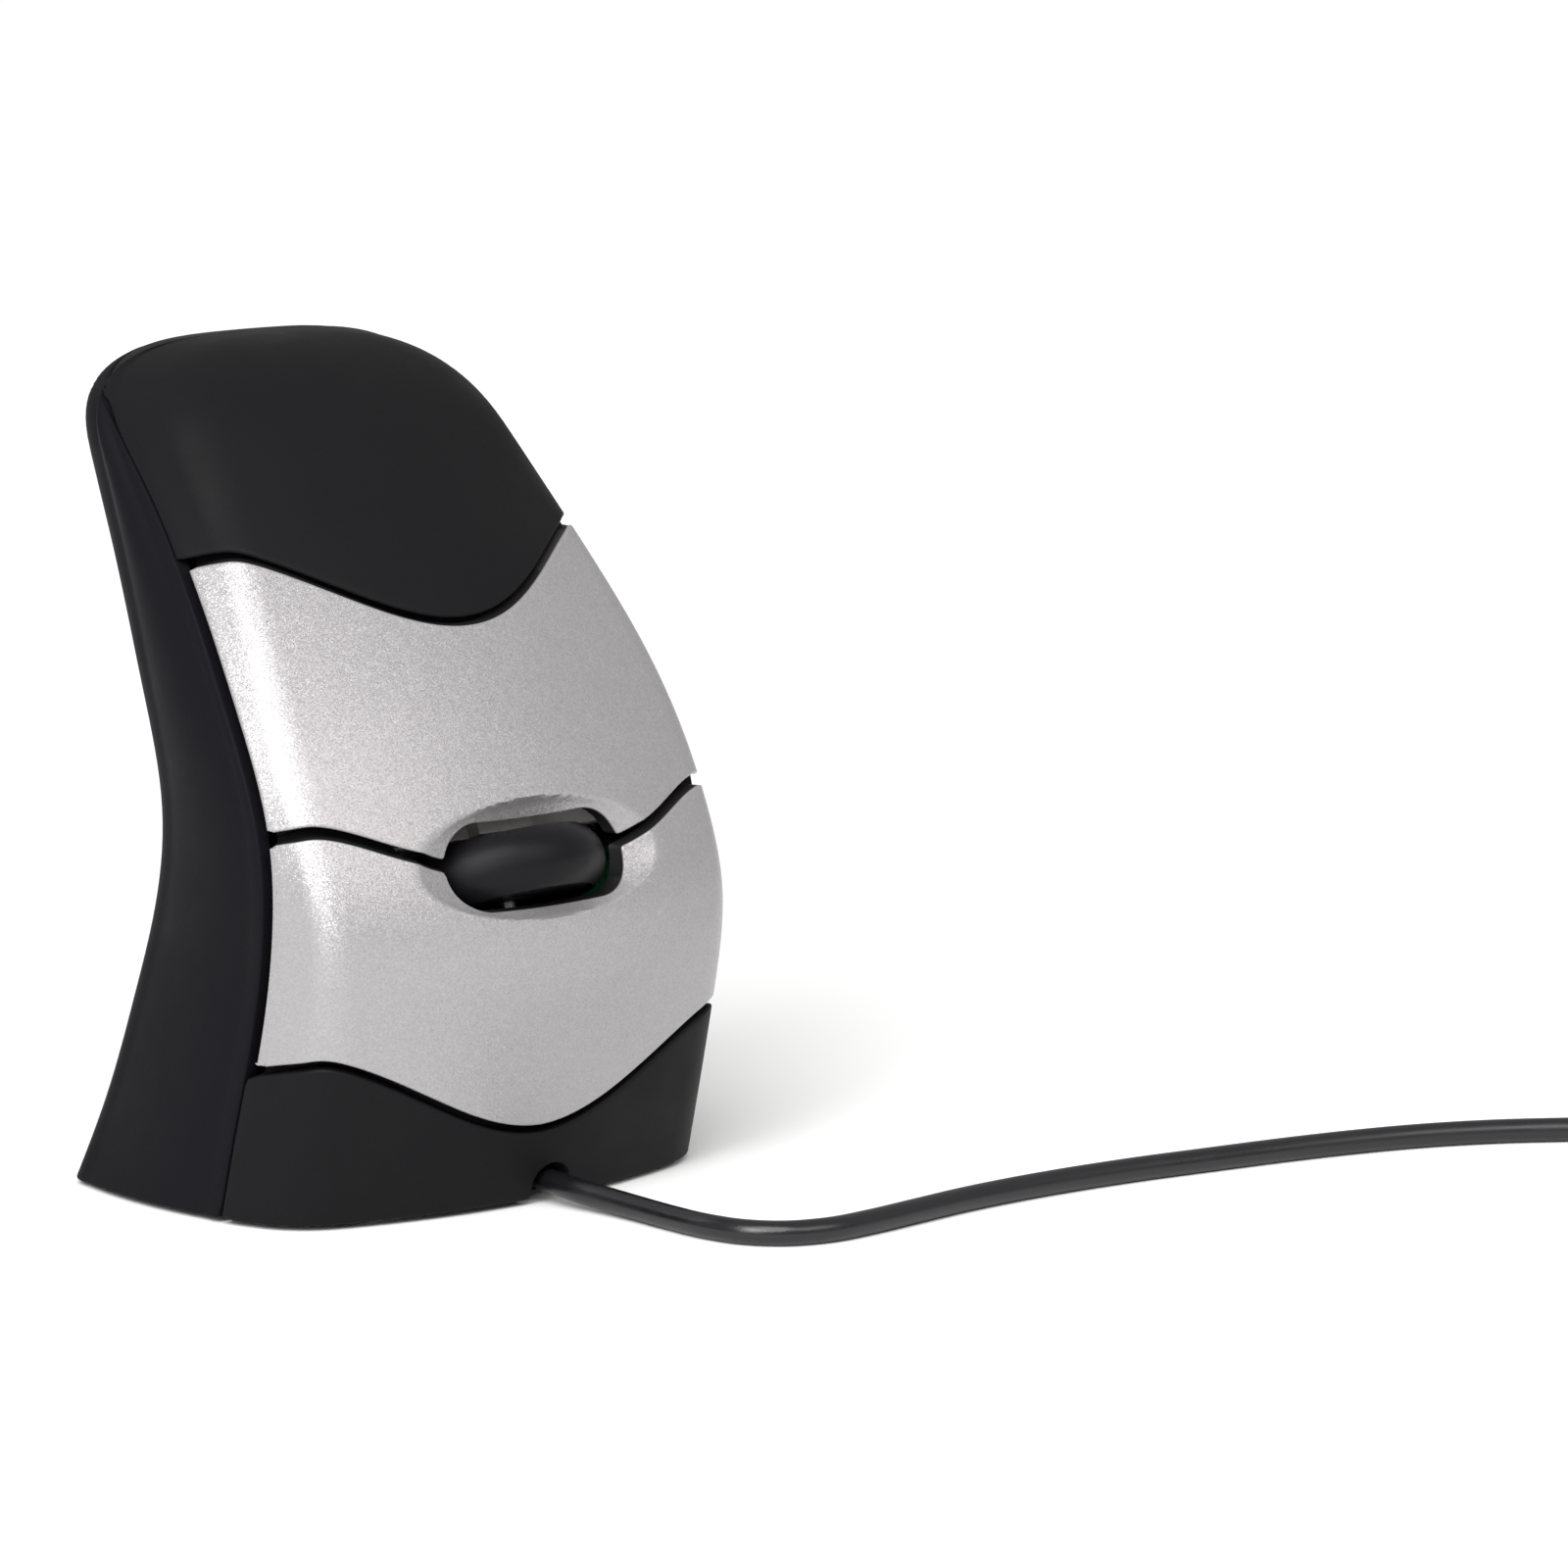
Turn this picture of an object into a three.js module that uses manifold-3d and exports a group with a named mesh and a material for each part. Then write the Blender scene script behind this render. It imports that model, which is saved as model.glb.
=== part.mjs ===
// Upright computer mouse, the same for either hand: a fin-shaped body with two broad silver
// buttons and a thumb wheel on its front face, and a cord that leaves at the foot of that face.
// Millimetres. The mouse stands on z = 0, x = 0 is its plane of symmetry and its face looks to -y.
import * as THREE from 'three';
import { mergeVertices } from 'three/addons/utils/BufferGeometryUtils.js';
import Module from 'manifold-3d';

const manifoldLibrary = await Module();
manifoldLibrary.setup();
const { Manifold, Mesh: ManifoldMesh } = manifoldLibrary;

// ---------------------------------------------------------------- driving dimensions

// Level sections of the body. ridge, seam and heel are the corners [x, y] of the half outline,
// crown and bulge are how far the front and back bow out at the middle, and the setbacks are
// where the rounding of the ridge and of the heel begins.
const SECTIONS = [
  { z: 0, ridge: [30.6, -22.2], crown: 6.2, seam: [34.6, -12.4], heel: [36.8, 17.4], bulge: 4, setbacks: [6, 4] },
  { z: 12, ridge: [30, -25.8], crown: 5.4, seam: [34, -15.2], heel: [34.6, 12.8], bulge: 4, setbacks: [5, 4] },
  { z: 24, ridge: [29.9, -28.4], crown: 5, seam: [33.4, -18.2], heel: [33, 9.4], bulge: 4, setbacks: [3.6, 4.5] },
  { z: 36, ridge: [29.9, -29.4], crown: 5, seam: [33.2, -20.2], heel: [31.6, 6.6], bulge: 4, setbacks: [3, 5] },
  { z: 48, ridge: [29.6, -25], crown: 5.2, seam: [33, -19], heel: [30.9, 6.2], bulge: 4, setbacks: [2.6, 5.5] },
  { z: 62, ridge: [28.4, -17], crown: 5.2, seam: [32, -11.2], heel: [30.6, 10.8], bulge: 4, setbacks: [2.6, 6] },
  { z: 77, ridge: [25.6, -5.8], crown: 5.2, seam: [29.4, 1.8], heel: [28.6, 19.6], bulge: 4, setbacks: [2.8, 6.5] },
  { z: 91, ridge: [23.4, 6.4], crown: 4.6, seam: [26.6, 16.3], heel: [26.2, 29.4], bulge: 3.6, setbacks: [4.5, 7] },
  { z: 104, ridge: [21.8, 18.2], crown: 4.2, seam: [24.4, 28.8], heel: [24.2, 36.8], bulge: 3, setbacks: [6, 7] },
];
const BODY_TOP = 101.6;
const DOME_START = 88;
const DOME_POWER = 2.9;
const CREST_SHARE = 0.44;
const SHELL_FOOT = 0.6;
const WALL = 2;
// Moves the middle of the whole depth, from the wheel to the back of the top, to y = 0.
const DEPTH_SHIFT = 0.67;
const SIDE_BOW = 1;

// How finely the body's surface is divided.
const FRONT_STEPS = 6;
const CORNER_STEPS = 3;
const SIDE_STEPS = 3;
const BACK_STEPS = 4;
const WALL_LEVELS = 12;
const DOME_LEVELS = 6;

// Seams of the front face as heights over the half width: the lowest point in the middle, the
// height where the seam crosses the ridge, and the height where it meets the side groove.
const TOP_SEAM = { middle: 70, ridge: 79.2, groove: 77.4, ridgeX: 25.3, grooveX: 29, curl: 2.2, sweep: 0.5, power: 1 };
const MIDDLE_SEAM = { middle: 43.4, ridge: 49, groove: 47.2, ridgeX: 29.4, grooveX: 33, curl: 1, sweep: 1, power: 3 };
const BOTTOM_SEAM = { middle: 9.8, ridge: 21.6, groove: 19.2, ridgeX: 29.8, grooveX: 33.4, curl: 1.6, sweep: 0.5, power: 1 };
// How softly a seam turns over the ridge.
const SEAM_TURN = 1.2;
// The front and rear shells part along the side seam, and further back over the top.
const PARTING_TURN = 80;
const PARTING_LEAN = 0.0125;
const SHELL_GAP = 0.3;
const CAP_GAP = 1;
const BUTTON_GAP = 1.4;
const SIDE_GAP = 1.2;
const BUTTON_WALL = 1.8;
const BED_TOP = 3;
const BED_FLOOR = 4.6;
const BED_ROOM = 0.8;

// The wheel's frame: its origin is on the face at the wheel, local z runs up the face,
// and local y runs straight in.
const FACE_ORIGIN = [0, -32.3, 43.4];
const FACE_LEAN = 22;
const WHEEL_RADIUS = 13;
const WHEEL_WIDTH = 8.8;
const WHEEL_DEPTH = 10.3;
const SLOT = { length: 26.4, height: 10.8 };
const DISH = [19.8, 3.6, 7.4];
const DISH_WALL = 1.8;

const BOARD_THICKNESS = 1.6;
const BUTTON_BOARD_Y = 14.5;
const UPPER_SWITCH_Z = 18;
const LOWER_SWITCH_Z = -13.6;
const SWITCH = { width: 12.8, height: 5.8, depth: 6.5 };
const PLUNGER = { width: 3, height: 1.6, length: 2.2, proud: 0.7 };
const POST_GAP = 0.15;
const WHEEL_SWITCH_X = 19;
const STEM_LENGTH = 2.7;

const BASE_THICKNESS = 1.8;
const SHELL_SCREWS = [[25.5, -15.5], [27.5, 8]];
const GLIDES = [[15, -21, 12, 4.6], [17, 14.5, 15, 5]];
const MAIN_BOARD = { x: 20, front: -14, back: 13, z: 7.6 };
const BOARD_POSTS = [[-16.5, -10.5], [16.5, -10.5], [0, 10.5]];

const CORD_RADIUS = 1.5;
const EXIT = [2.8, -25.6, 2.7];
const ARCH = { halfWidth: 2.8, height: 5 };
const COIL = { centre: [162.6, -84.8], radii: [12, 15, 18, 21], layers: 4 };
// The cord's route from the grommet to its first turn of the coil, and from its last turn to the plug.
const CORD_ROUTE = [
  [2.8, -25.9, 2.7],
  [2.8, -29.5, 2.6],
  [3.2, -33.5, 2.3],
  [4.2, -38, 1.9],
  [5, -43.5, 1.6],
  [5.4, -49.5, 1.5],
  [6, -55, 1.5],
  [7.7, -60, 1.5],
  [11, -63.6, 1.5],
  [16, -65.5, 1.5],
  [22, -65.6, 1.5],
  [30, -64.9, 1.5],
  [38, -64.2, 1.5],
  [46, -64.1, 1.5],
  [55, -64.6, 1.5],
  [65, -65.8, 1.5],
  [75, -67.6, 1.5],
  [85, -69.5, 1.5],
  [95, -71.9, 1.5],
  [105, -75.2, 1.5],
  [114, -79.6, 1.5],
  [124, -86.2, 1.5],
  [134.8, -93, 1.5],
];
const TAIL_ROUTE = [
  [170.9, -107.8, 9],
  [175, -108.4, 7.4],
  [179, -108, 5.6],
  [183, -106.2, 4.3],
  [186.4, -103.2, 3.6],
  [189.2, -99.5, 3.5],
];
const PLUG_PLACE = [189.38, -99.26, 3.5];
const PLUG_HEADING = Math.atan2(0.8, 0.6);

// ---------------------------------------------------------------- finishes

const FINISHES = {
  softBlack: { color: 0x2b2b2d, roughness: 0.55, metalness: 0 },
  sideBlack: { color: 0x2a2a30, roughness: 0.6, metalness: 0 },
  silverPaint: { color: 0xc8c4c3, roughness: 0.35, metalness: 0.6 },
  rubber: { color: 0x2d2d30, roughness: 0.8, metalness: 0 },
  innerPlastic: { color: 0x1a1a1c, roughness: 0.5, metalness: 0 },
  whitePlastic: { color: 0xe4e2dc, roughness: 0.5, metalness: 0 },
  boardGreen: { color: 0x1f5a34, roughness: 0.5, metalness: 0 },
  steel: { color: 0xb9bcc0, roughness: 0.3, metalness: 1 },
  slideWhite: { color: 0xd9d8d4, roughness: 0.35, metalness: 0 },
  clearLens: { color: 0xd8e4ea, roughness: 0.1, metalness: 0 },
  redPlunger: { color: 0xa8281e, roughness: 0.4, metalness: 0 },
  cordVinyl: { color: 0x1f1f21, roughness: 0.45, metalness: 0 },
};

// ---------------------------------------------------------------- small tools

const degrees = THREE.MathUtils.degToRad;
const mouse = new THREE.Group();
mouse.position.y = DEPTH_SHIFT;
const faceFrame = new THREE.Group();
faceFrame.position.set(...FACE_ORIGIN);
faceFrame.rotation.x = degrees(-FACE_LEAN);
faceFrame.updateMatrix();
mouse.add(faceFrame);

function place(geometry, x, y, z) {
  return geometry.translate(x, y, z);
}

function box(low, high) {
  const size = low.map((value, axis) => high[axis] - value);
  const middle = low.map((value, axis) => (high[axis] + value) / 2);
  return place(new THREE.BoxGeometry(...size), ...middle);
}

// A round bar from one height to another.
function bar(radius, low, high, x = 0, y = 0, sides = 20) {
  const geometry = new THREE.CylinderGeometry(radius, radius, high - low, sides);
  return place(geometry.rotateX(Math.PI / 2), x, y, (low + high) / 2);
}

// A turned piece about z, from a closed outline of [radius, height] points.
function turned(points, segments = 24) {
  const outline = points.map(([radius, height]) => new THREE.Vector2(radius, height));
  return new THREE.LatheGeometry(outline, segments).rotateX(Math.PI / 2);
}

function outlineOf(points) {
  return new THREE.Shape(points.map(([x, y]) => new THREE.Vector2(x, y)));
}

// A plate lying level, from one height to another.
function plate(points, low, high) {
  const geometry = new THREE.ExtrudeGeometry(outlineOf(points), { depth: high - low, bevelEnabled: false });
  return place(geometry, 0, 0, low);
}

// A block with an outline in x and z, from one y to another.
function blockAlongY(points, low, high) {
  return plate(points, -high, -low).rotateX(Math.PI / 2);
}

// A block with an outline in y and z, from one x to another.
function blockAlongX(points, low, high) {
  return plate(points, low, high).rotateX(Math.PI / 2).rotateZ(Math.PI / 2);
}

function roundedRectangle(width, height, radius, steps = 3) {
  const points = [];
  const corners = [[1, 1, 0], [-1, 1, 1], [-1, -1, 2], [1, -1, 3]];
  for (const [sideX, sideY, quarter] of corners) {
    for (let step = 0; step <= steps; step += 1) {
      const angle = (quarter + step / steps) * Math.PI / 2;
      const x = sideX * (width / 2 - radius) + radius * Math.cos(angle);
      const y = sideY * (height / 2 - radius) + radius * Math.sin(angle);
      points.push([x, y]);
    }
  }
  return points;
}

function solid(geometry) {
  const bare = new THREE.BufferGeometry();
  bare.setAttribute('position', geometry.getAttribute('position'));
  if (geometry.index) {
    bare.setIndex(geometry.index);
  }
  const merged = mergeVertices(bare, 1e-4);
  const vertProperties = new Float32Array(merged.getAttribute('position').array);
  const triVerts = new Uint32Array(merged.index.array);
  return new Manifold(new ManifoldMesh({ numProp: 3, vertProperties, triVerts }));
}

function solidOnFace(geometry) {
  return solid(geometry.clone().applyMatrix4(faceFrame.matrix));
}

function geometryOf(shape) {
  const mesh = shape.getMesh();
  const geometry = new THREE.BufferGeometry();
  geometry.setAttribute('position', new THREE.BufferAttribute(new Float32Array(mesh.vertProperties), 3));
  geometry.setIndex(new THREE.BufferAttribute(new Uint32Array(mesh.triVerts), 1));
  geometry.computeVertexNormals();
  return geometry;
}

function cut(geometry, ...cutters) {
  let shape = solid(geometry);
  for (const cutter of cutters) {
    shape = shape.subtract(solid(cutter));
  }
  return geometryOf(shape);
}

function add(name, shape, finish, parent = mouse) {
  const geometry = shape.isBufferGeometry ? shape : geometryOf(shape);
  const mesh = new THREE.Mesh(geometry, new THREE.MeshStandardMaterial(FINISHES[finish]));
  mesh.name = name;
  parent.add(mesh);
  return mesh;
}

// ---------------------------------------------------------------- the body's surface

// A smooth curve through values at the given places, free at both ends.
function smoothCurve(places, values) {
  const count = places.length;
  const bends = new Array(count).fill(0);
  const carried = new Array(count).fill(0);
  for (let i = 1; i < count - 1; i += 1) {
    const before = places[i] - places[i - 1];
    const after = places[i + 1] - places[i];
    const turn = (values[i + 1] - values[i]) / after - (values[i] - values[i - 1]) / before;
    const pivot = 2 * (before + after) - before * carried[i - 1];
    carried[i] = after / pivot;
    bends[i] = (6 * turn - before * bends[i - 1]) / pivot;
  }
  for (let i = count - 2; i > 0; i -= 1) {
    bends[i] -= carried[i] * bends[i + 1];
  }
  return (place) => {
    let i = places.findIndex((end, index) => index > 0 && place <= end) - 1;
    if (i < 0) {
      i = count - 2;
    }
    const step = places[i + 1] - places[i];
    const rest = (places[i + 1] - place) / step;
    const share = (place - places[i]) / step;
    const curved = (rest ** 3 - rest) * bends[i] + (share ** 3 - share) * bends[i + 1];
    return rest * values[i] + share * values[i + 1] + curved * step * step / 6;
  };
}

const heights = SECTIONS.map((section) => section.z);
const along = (pick) => smoothCurve(heights, SECTIONS.map(pick));
const ridgeX = along((section) => section.ridge[0]);
const ridgeY = along((section) => section.ridge[1]);
const seamX = along((section) => section.seam[0]);
const seamY = along((section) => section.seam[1]);
const heelX = along((section) => section.heel[0]);
const heelY = along((section) => section.heel[1]);
const crownAt = along((section) => section.crown);
const bulgeAt = along((section) => section.bulge);
const ridgeSetback = along((section) => section.setbacks[0]);
const heelSetback = along((section) => section.setbacks[1]);

function inward(direction) {
  return new THREE.Vector2(-direction.y, direction.x).normalize();
}

// Moves a corner in by the same distance from both of its sides.
function insetCorner(corner, sideBefore, sideAfter, inset) {
  const first = inward(sideBefore);
  const second = inward(sideAfter);
  const bisector = first.clone().add(second);
  return corner.clone().addScaledVector(bisector, inset / (1 + first.dot(second)));
}

// Points from one end towards the other of a rounded corner, without the last one.
function roundCorner(start, corner, end, steps) {
  const points = [];
  for (let step = 0; step < steps; step += 1) {
    const t = step / steps;
    const point = start.clone().multiplyScalar((1 - t) ** 2);
    point.addScaledVector(corner, 2 * t * (1 - t)).addScaledVector(end, t * t);
    points.push(point);
  }
  return points;
}

// Half of the level outline at a height, from the front middle round to the back middle.
function halfOutline(z, inset) {
  const level = Math.max(z, 0);
  const outerRidge = new THREE.Vector2(ridgeX(level), ridgeY(level));
  const outerSeam = new THREE.Vector2(seamX(level), seamY(level));
  const outerHeel = new THREE.Vector2(heelX(level), heelY(level));
  const crown = crownAt(level);
  const bulge = bulgeAt(level);
  const frontEnd = new THREE.Vector2(outerRidge.x, 2 * crown);
  const strip = outerSeam.clone().sub(outerRidge);
  const side = outerHeel.clone().sub(outerSeam);
  const backStart = new THREE.Vector2(-outerHeel.x, 2 * bulge);
  const ridge = insetCorner(outerRidge, frontEnd, strip, inset);
  const seam = insetCorner(outerSeam, strip, side, inset);
  const heel = insetCorner(outerHeel, side, backStart, inset);
  const frontMiddle = outerRidge.y - crown + inset;
  const backMiddle = outerHeel.y + bulge - inset;
  const frontAt = (x) => frontMiddle + (ridge.y - frontMiddle) * (x / ridge.x) ** 2;
  const backAt = (x) => backMiddle + (heel.y - backMiddle) * (x / heel.x) ** 2;

  const stripWay = seam.clone().sub(ridge).normalize();
  const sideWay = heel.clone().sub(seam).normalize();
  const ridgeStart = ridge.x - ridgeSetback(level);
  const heelEnd = heel.x - heelSetback(level);
  const beforeRidge = new THREE.Vector2(ridgeStart, frontAt(ridgeStart));
  const slope = 2 * (ridge.y - frontMiddle) * ridgeStart / ridge.x ** 2;
  const across = ridge.clone().sub(beforeRidge);
  const reach = (across.x * stripWay.y - across.y * stripWay.x) / (stripWay.y - slope * stripWay.x);
  const ridgeTip = new THREE.Vector2(ridgeStart + reach, beforeRidge.y + slope * reach);
  const afterRidge = ridgeTip.clone().addScaledVector(stripWay, ridgeSetback(level));
  const seamSetback = Math.min(2.6, seam.distanceTo(afterRidge) / 2);
  const beforeSeam = seam.clone().addScaledVector(stripWay, -seamSetback);
  const afterSeam = seam.clone().addScaledVector(sideWay, seamSetback);
  const beforeHeel = heel.clone().addScaledVector(sideWay, -heelSetback(level));
  const afterHeel = new THREE.Vector2(heelEnd, backAt(heelEnd));

  const points = [];
  for (let step = 0; step < FRONT_STEPS; step += 1) {
    const x = ridgeStart * step / FRONT_STEPS;
    points.push(new THREE.Vector2(x, frontAt(x)));
  }
  points.push(...roundCorner(beforeRidge, ridgeTip, afterRidge, CORNER_STEPS));
  points.push(...roundCorner(afterRidge, afterRidge.clone().lerp(beforeSeam, 0.5), beforeSeam, 2));
  points.push(...roundCorner(beforeSeam, seam, afterSeam, 2));
  for (let step = 0; step < SIDE_STEPS; step += 1) {
    const t = step / SIDE_STEPS;
    const point = afterSeam.clone().lerp(beforeHeel, t);
    points.push(point.addScaledVector(inward(sideWay), -4 * SIDE_BOW * t * (1 - t)));
  }
  points.push(...roundCorner(beforeHeel, heel, afterHeel, CORNER_STEPS));
  for (let step = 0; step <= BACK_STEPS; step += 1) {
    const x = heelEnd * (1 - step / BACK_STEPS);
    points.push(new THREE.Vector2(x, backAt(x)));
  }
  return points;
}

function crestY(z) {
  const front = ridgeY(z) - crownAt(z);
  const back = heelY(z) + bulgeAt(z);
  return front * (1 - CREST_SHARE) + back * CREST_SHARE;
}

// The whole level outline at a height, drawn in towards the crest over the domed top.
function levelRing(z, inset) {
  const top = BODY_TOP - inset;
  const rise = Math.max(0, (z - DOME_START) / (top - DOME_START));
  const shrink = (1 - rise ** DOME_POWER) ** (1 / DOME_POWER);
  const middle = crestY(z);
  const half = halfOutline(z, inset).map((point) => [point.x * shrink, middle + (point.y - middle) * shrink]);
  const mirrored = half.slice(1, -1).reverse().map(([x, y]) => [-x, y]);
  return [...half, ...mirrored].map(([x, y]) => [x, y, z]);
}

// The body as one closed solid, drawn in by a distance all over, from a foot height up.
function bodySolid(inset, foot) {
  const top = BODY_TOP - inset;
  const levels = [];
  for (let step = 0; step <= WALL_LEVELS; step += 1) {
    levels.push(foot + (DOME_START - foot) * step / WALL_LEVELS);
  }
  for (let step = 1; step < DOME_LEVELS; step += 1) {
    const angle = step / DOME_LEVELS * Math.PI / 2;
    levels.push(DOME_START + (top - DOME_START) * Math.sin(angle) ** (2 / DOME_POWER));
  }
  const rings = levels.map((z) => levelRing(z, inset));
  const size = rings[0].length;
  const points = [...rings.flat(), [0, crestY(foot), foot], [0, crestY(top), top]];
  const bottomMiddle = points.length - 2;
  const topMiddle = points.length - 1;
  const faces = [];
  for (let i = 0; i < size; i += 1) {
    const next = (i + 1) % size;
    faces.push(bottomMiddle, next, i);
    for (let ring = 0; ring < rings.length - 1; ring += 1) {
      const here = ring * size;
      const above = here + size;
      faces.push(here + i, here + next, above + next, here + i, above + next, above + i);
    }
    const last = (rings.length - 1) * size;
    faces.push(last + i, last + next, topMiddle);
  }
  const geometry = new THREE.BufferGeometry();
  geometry.setAttribute('position', new THREE.Float32BufferAttribute(points.flat(), 3));
  geometry.setIndex(faces);
  return solid(geometry);
}

// ---------------------------------------------------------------- seams and cutting blocks

function seamHeight(seam, x) {
  const out = Math.abs(x) / seam.ridgeX;
  const swing = (1 - Math.cos(Math.PI * Math.min(out, 1))) / 2;
  const lift = (1 - seam.sweep) * out ** seam.curl + seam.sweep * swing ** seam.power;
  const past = (Math.abs(x) - seam.ridgeX) / (seam.grooveX - seam.ridgeX);
  const rising = seam.middle + (seam.ridge - seam.middle) * lift;
  const falling = seam.ridge - (seam.ridge - seam.groove) * past;
  return (rising + falling - Math.hypot(rising - falling, SEAM_TURN)) / 2;
}

function partingY(z) {
  return seamY(z) + PARTING_LEAN * Math.max(0, z - PARTING_TURN) ** 2;
}

const REACH = 42;
const SEAM_STEP = 3;
const SEAM_PLACES = Array.from({ length: 2 * REACH / SEAM_STEP + 1 }, (_, i) => i * SEAM_STEP - REACH);

function seamPoints(seam, shift) {
  return SEAM_PLACES.map((x) => [x, seamHeight(seam, x) + shift]);
}

// Everything between two seams, or above or below one of them.
function band(lower, upper) {
  const low = lower ?? [[-REACH, -5], [REACH, -5]];
  const high = upper ?? [[-REACH, 120], [REACH, 120]];
  return solid(blockAlongY([...low, ...high.slice().reverse()], -60, 60));
}

// Everything in front of, or behind, the line where the front and rear shells meet.
function sideOfSeam(shift, farY) {
  const line = [];
  for (let z = -4; z <= 104; z += 6) {
    line.push([partingY(Math.max(z, 0)) + shift, z]);
  }
  const ends = [[farY, 104], [farY, -4]];
  const ordered = farY < 0 ? [...line, ...ends] : [...line, ...ends].reverse();
  return solid(blockAlongX(ordered, -REACH, REACH));
}

const outside = bodySolid(0, SHELL_FOOT);
const walls = outside.subtract(bodySolid(WALL, -2));
const frontPart = sideOfSeam(-SHELL_GAP / 2, -60);
const rearPart = sideOfSeam(SHELL_GAP / 2, 80);
const aboveTop = band(seamPoints(TOP_SEAM, CAP_GAP / 2), null);
const belowBottom = band(null, seamPoints(BOTTOM_SEAM, -CAP_GAP / 2));

// ---------------------------------------------------------------- casing

function screwBoss(x, y, wallX, wallY) {
  const column = solid(bar(3, BASE_THICKNESS + SHELL_FOOT + 0.2, 14, x, y));
  const rib = box(
    [Math.min(x, wallX), Math.min(y, wallY) - 0.8, BASE_THICKNESS + SHELL_FOOT + 0.2],
    [Math.max(x, wallX), Math.max(y, wallY) + 0.8, 12],
  );
  return column.add(solid(rib));
}

function withBosses(shell, [x, y], wallX, wallY) {
  const room = bodySolid(WALL / 2, SHELL_FOOT);
  let shape = shell;
  for (const side of [-1, 1]) {
    shape = shape.add(screwBoss(side * x, y, side * wallX, wallY).intersect(room));
    shape = shape.subtract(solid(bar(1.3, 0, 11.4, side * x, y, 12)));
  }
  return shape;
}

function rearShell() {
  return withBosses(walls.intersect(rearPart), SHELL_SCREWS[1], 35, SHELL_SCREWS[1][1]);
}

function cableArch() {
  const outline = [[-ARCH.halfWidth, -1]];
  const steps = 8;
  for (let step = 0; step <= steps; step += 1) {
    const angle = Math.PI * (1 - step / steps);
    const rise = ARCH.height - ARCH.halfWidth + ARCH.halfWidth * Math.sin(angle);
    outline.push([ARCH.halfWidth * Math.cos(angle), rise]);
  }
  outline.push([ARCH.halfWidth, -1]);
  return place(blockAlongY(outline.reverse(), -40, -22), EXIT[0], 0, 0);
}

// The cap and skirt at full height, joined by the bed that lies under both buttons.
function frontShell() {
  const bedLayer = bodySolid(BED_TOP, -2).subtract(bodySolid(BED_FLOOR, -3));
  const overlap = 2.2;
  const bedBand = band(
    seamPoints(BOTTOM_SEAM, -CAP_GAP / 2 - overlap),
    seamPoints(TOP_SEAM, CAP_GAP / 2 + overlap),
  );
  const stepBands = bedBand.intersect(aboveTop.add(belowBottom));
  const fullDepth = outside.subtract(bodySolid(BED_FLOOR, -3));
  let shape = walls.intersect(aboveTop.add(belowBottom));
  shape = shape.add(bedLayer.intersect(bedBand)).add(fullDepth.intersect(stepBands)).intersect(frontPart);
  const padRoom = DISH.map((radius) => radius + DISH_WALL + BED_ROOM);
  shape = shape.subtract(solidOnFace(ellipsoid(padRoom)));
  shape = shape.subtract(solidOnFace(box([-15.5, -12, -9], [15.5, 14, 9])));
  shape = shape.subtract(solidOnFace(box([-6.2, 0, 0], [6.2, 14, 13])));
  for (const height of [UPPER_SWITCH_Z, LOWER_SWITCH_Z]) {
    shape = shape.subtract(solidOnFace(box([-6.8, -12, height - 3.4], [6.8, 12, height + 3.4])));
  }
  shape = withBosses(shape, SHELL_SCREWS[0], 30, -24);
  return shape.subtract(solid(cableArch()));
}

function ellipsoid(radii) {
  return new THREE.SphereGeometry(1, 24, 12).rotateX(Math.PI / 2).scale(...radii);
}

// A silver button: a thin skin of the body between two seams, with its half of the wheel's
// dish and slot, and a post behind it that presses its switch.
function button(region, postZ) {
  const pad = solidOnFace(ellipsoid(DISH.map((radius) => radius + DISH_WALL))).intersect(outside);
  const skin = outside.subtract(bodySolid(BUTTON_WALL, -2)).add(pad);
  const postEnd = BUTTON_BOARD_Y - SWITCH.depth - PLUNGER.proud - POST_GAP;
  const post = solidOnFace(box([-2.5, -2, postZ - 1.4], [2.5, postEnd, postZ + 1.4])).intersect(outside);
  const slot = blockAlongY(roundedRectangle(SLOT.length, SLOT.height, SLOT.height / 2 - 0.4), -12, 12);
  const front = sideOfSeam(-SIDE_GAP - SHELL_GAP / 2, -60);
  const shape = skin.add(post).intersect(front).intersect(region);
  return shape.subtract(solidOnFace(ellipsoid(DISH))).subtract(solidOnFace(slot));
}

function basePlate() {
  const foot = SHELL_FOOT;
  const outline = [[-REACH, -REACH], [REACH, -REACH], [REACH, REACH], [-REACH, REACH]];
  const room = bodySolid(WALL + SHELL_GAP, -3);
  let shape = solid(plate(outline, foot, foot + BASE_THICKNESS)).intersect(room);
  for (const [x, y] of BOARD_POSTS) {
    shape = shape.add(solid(bar(2.4, foot, MAIN_BOARD.z - 0.1, x, y, 16)));
    shape = shape.subtract(solid(bar(0.9, 3, MAIN_BOARD.z + 1, x, y, 10)));
  }
  for (const side of [-1, 1]) {
    for (const [x, y] of SHELL_SCREWS) {
      shape = shape.subtract(solid(bar(1.5, 0, 4, side * x, y, 14)));
      shape = shape.subtract(solid(bar(2.9, 0, foot + 1, side * x, y, 18)));
    }
    for (const [x, y, width, height] of GLIDES) {
      const pocket = plate(roundedRectangle(width + 0.6, height + 0.6, height / 2 + 0.2), 0, foot + 0.5);
      shape = shape.subtract(solid(place(pocket, side * x, y, 0)));
    }
  }
  shape = shape.subtract(solid(plate(roundedRectangle(11, 8, 2), 0, 4)));
  return shape.subtract(solid(box([EXIT[0] - 3.4, -32, 0], [EXIT[0] + 3.4, -16.6, 4])));
}

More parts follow.
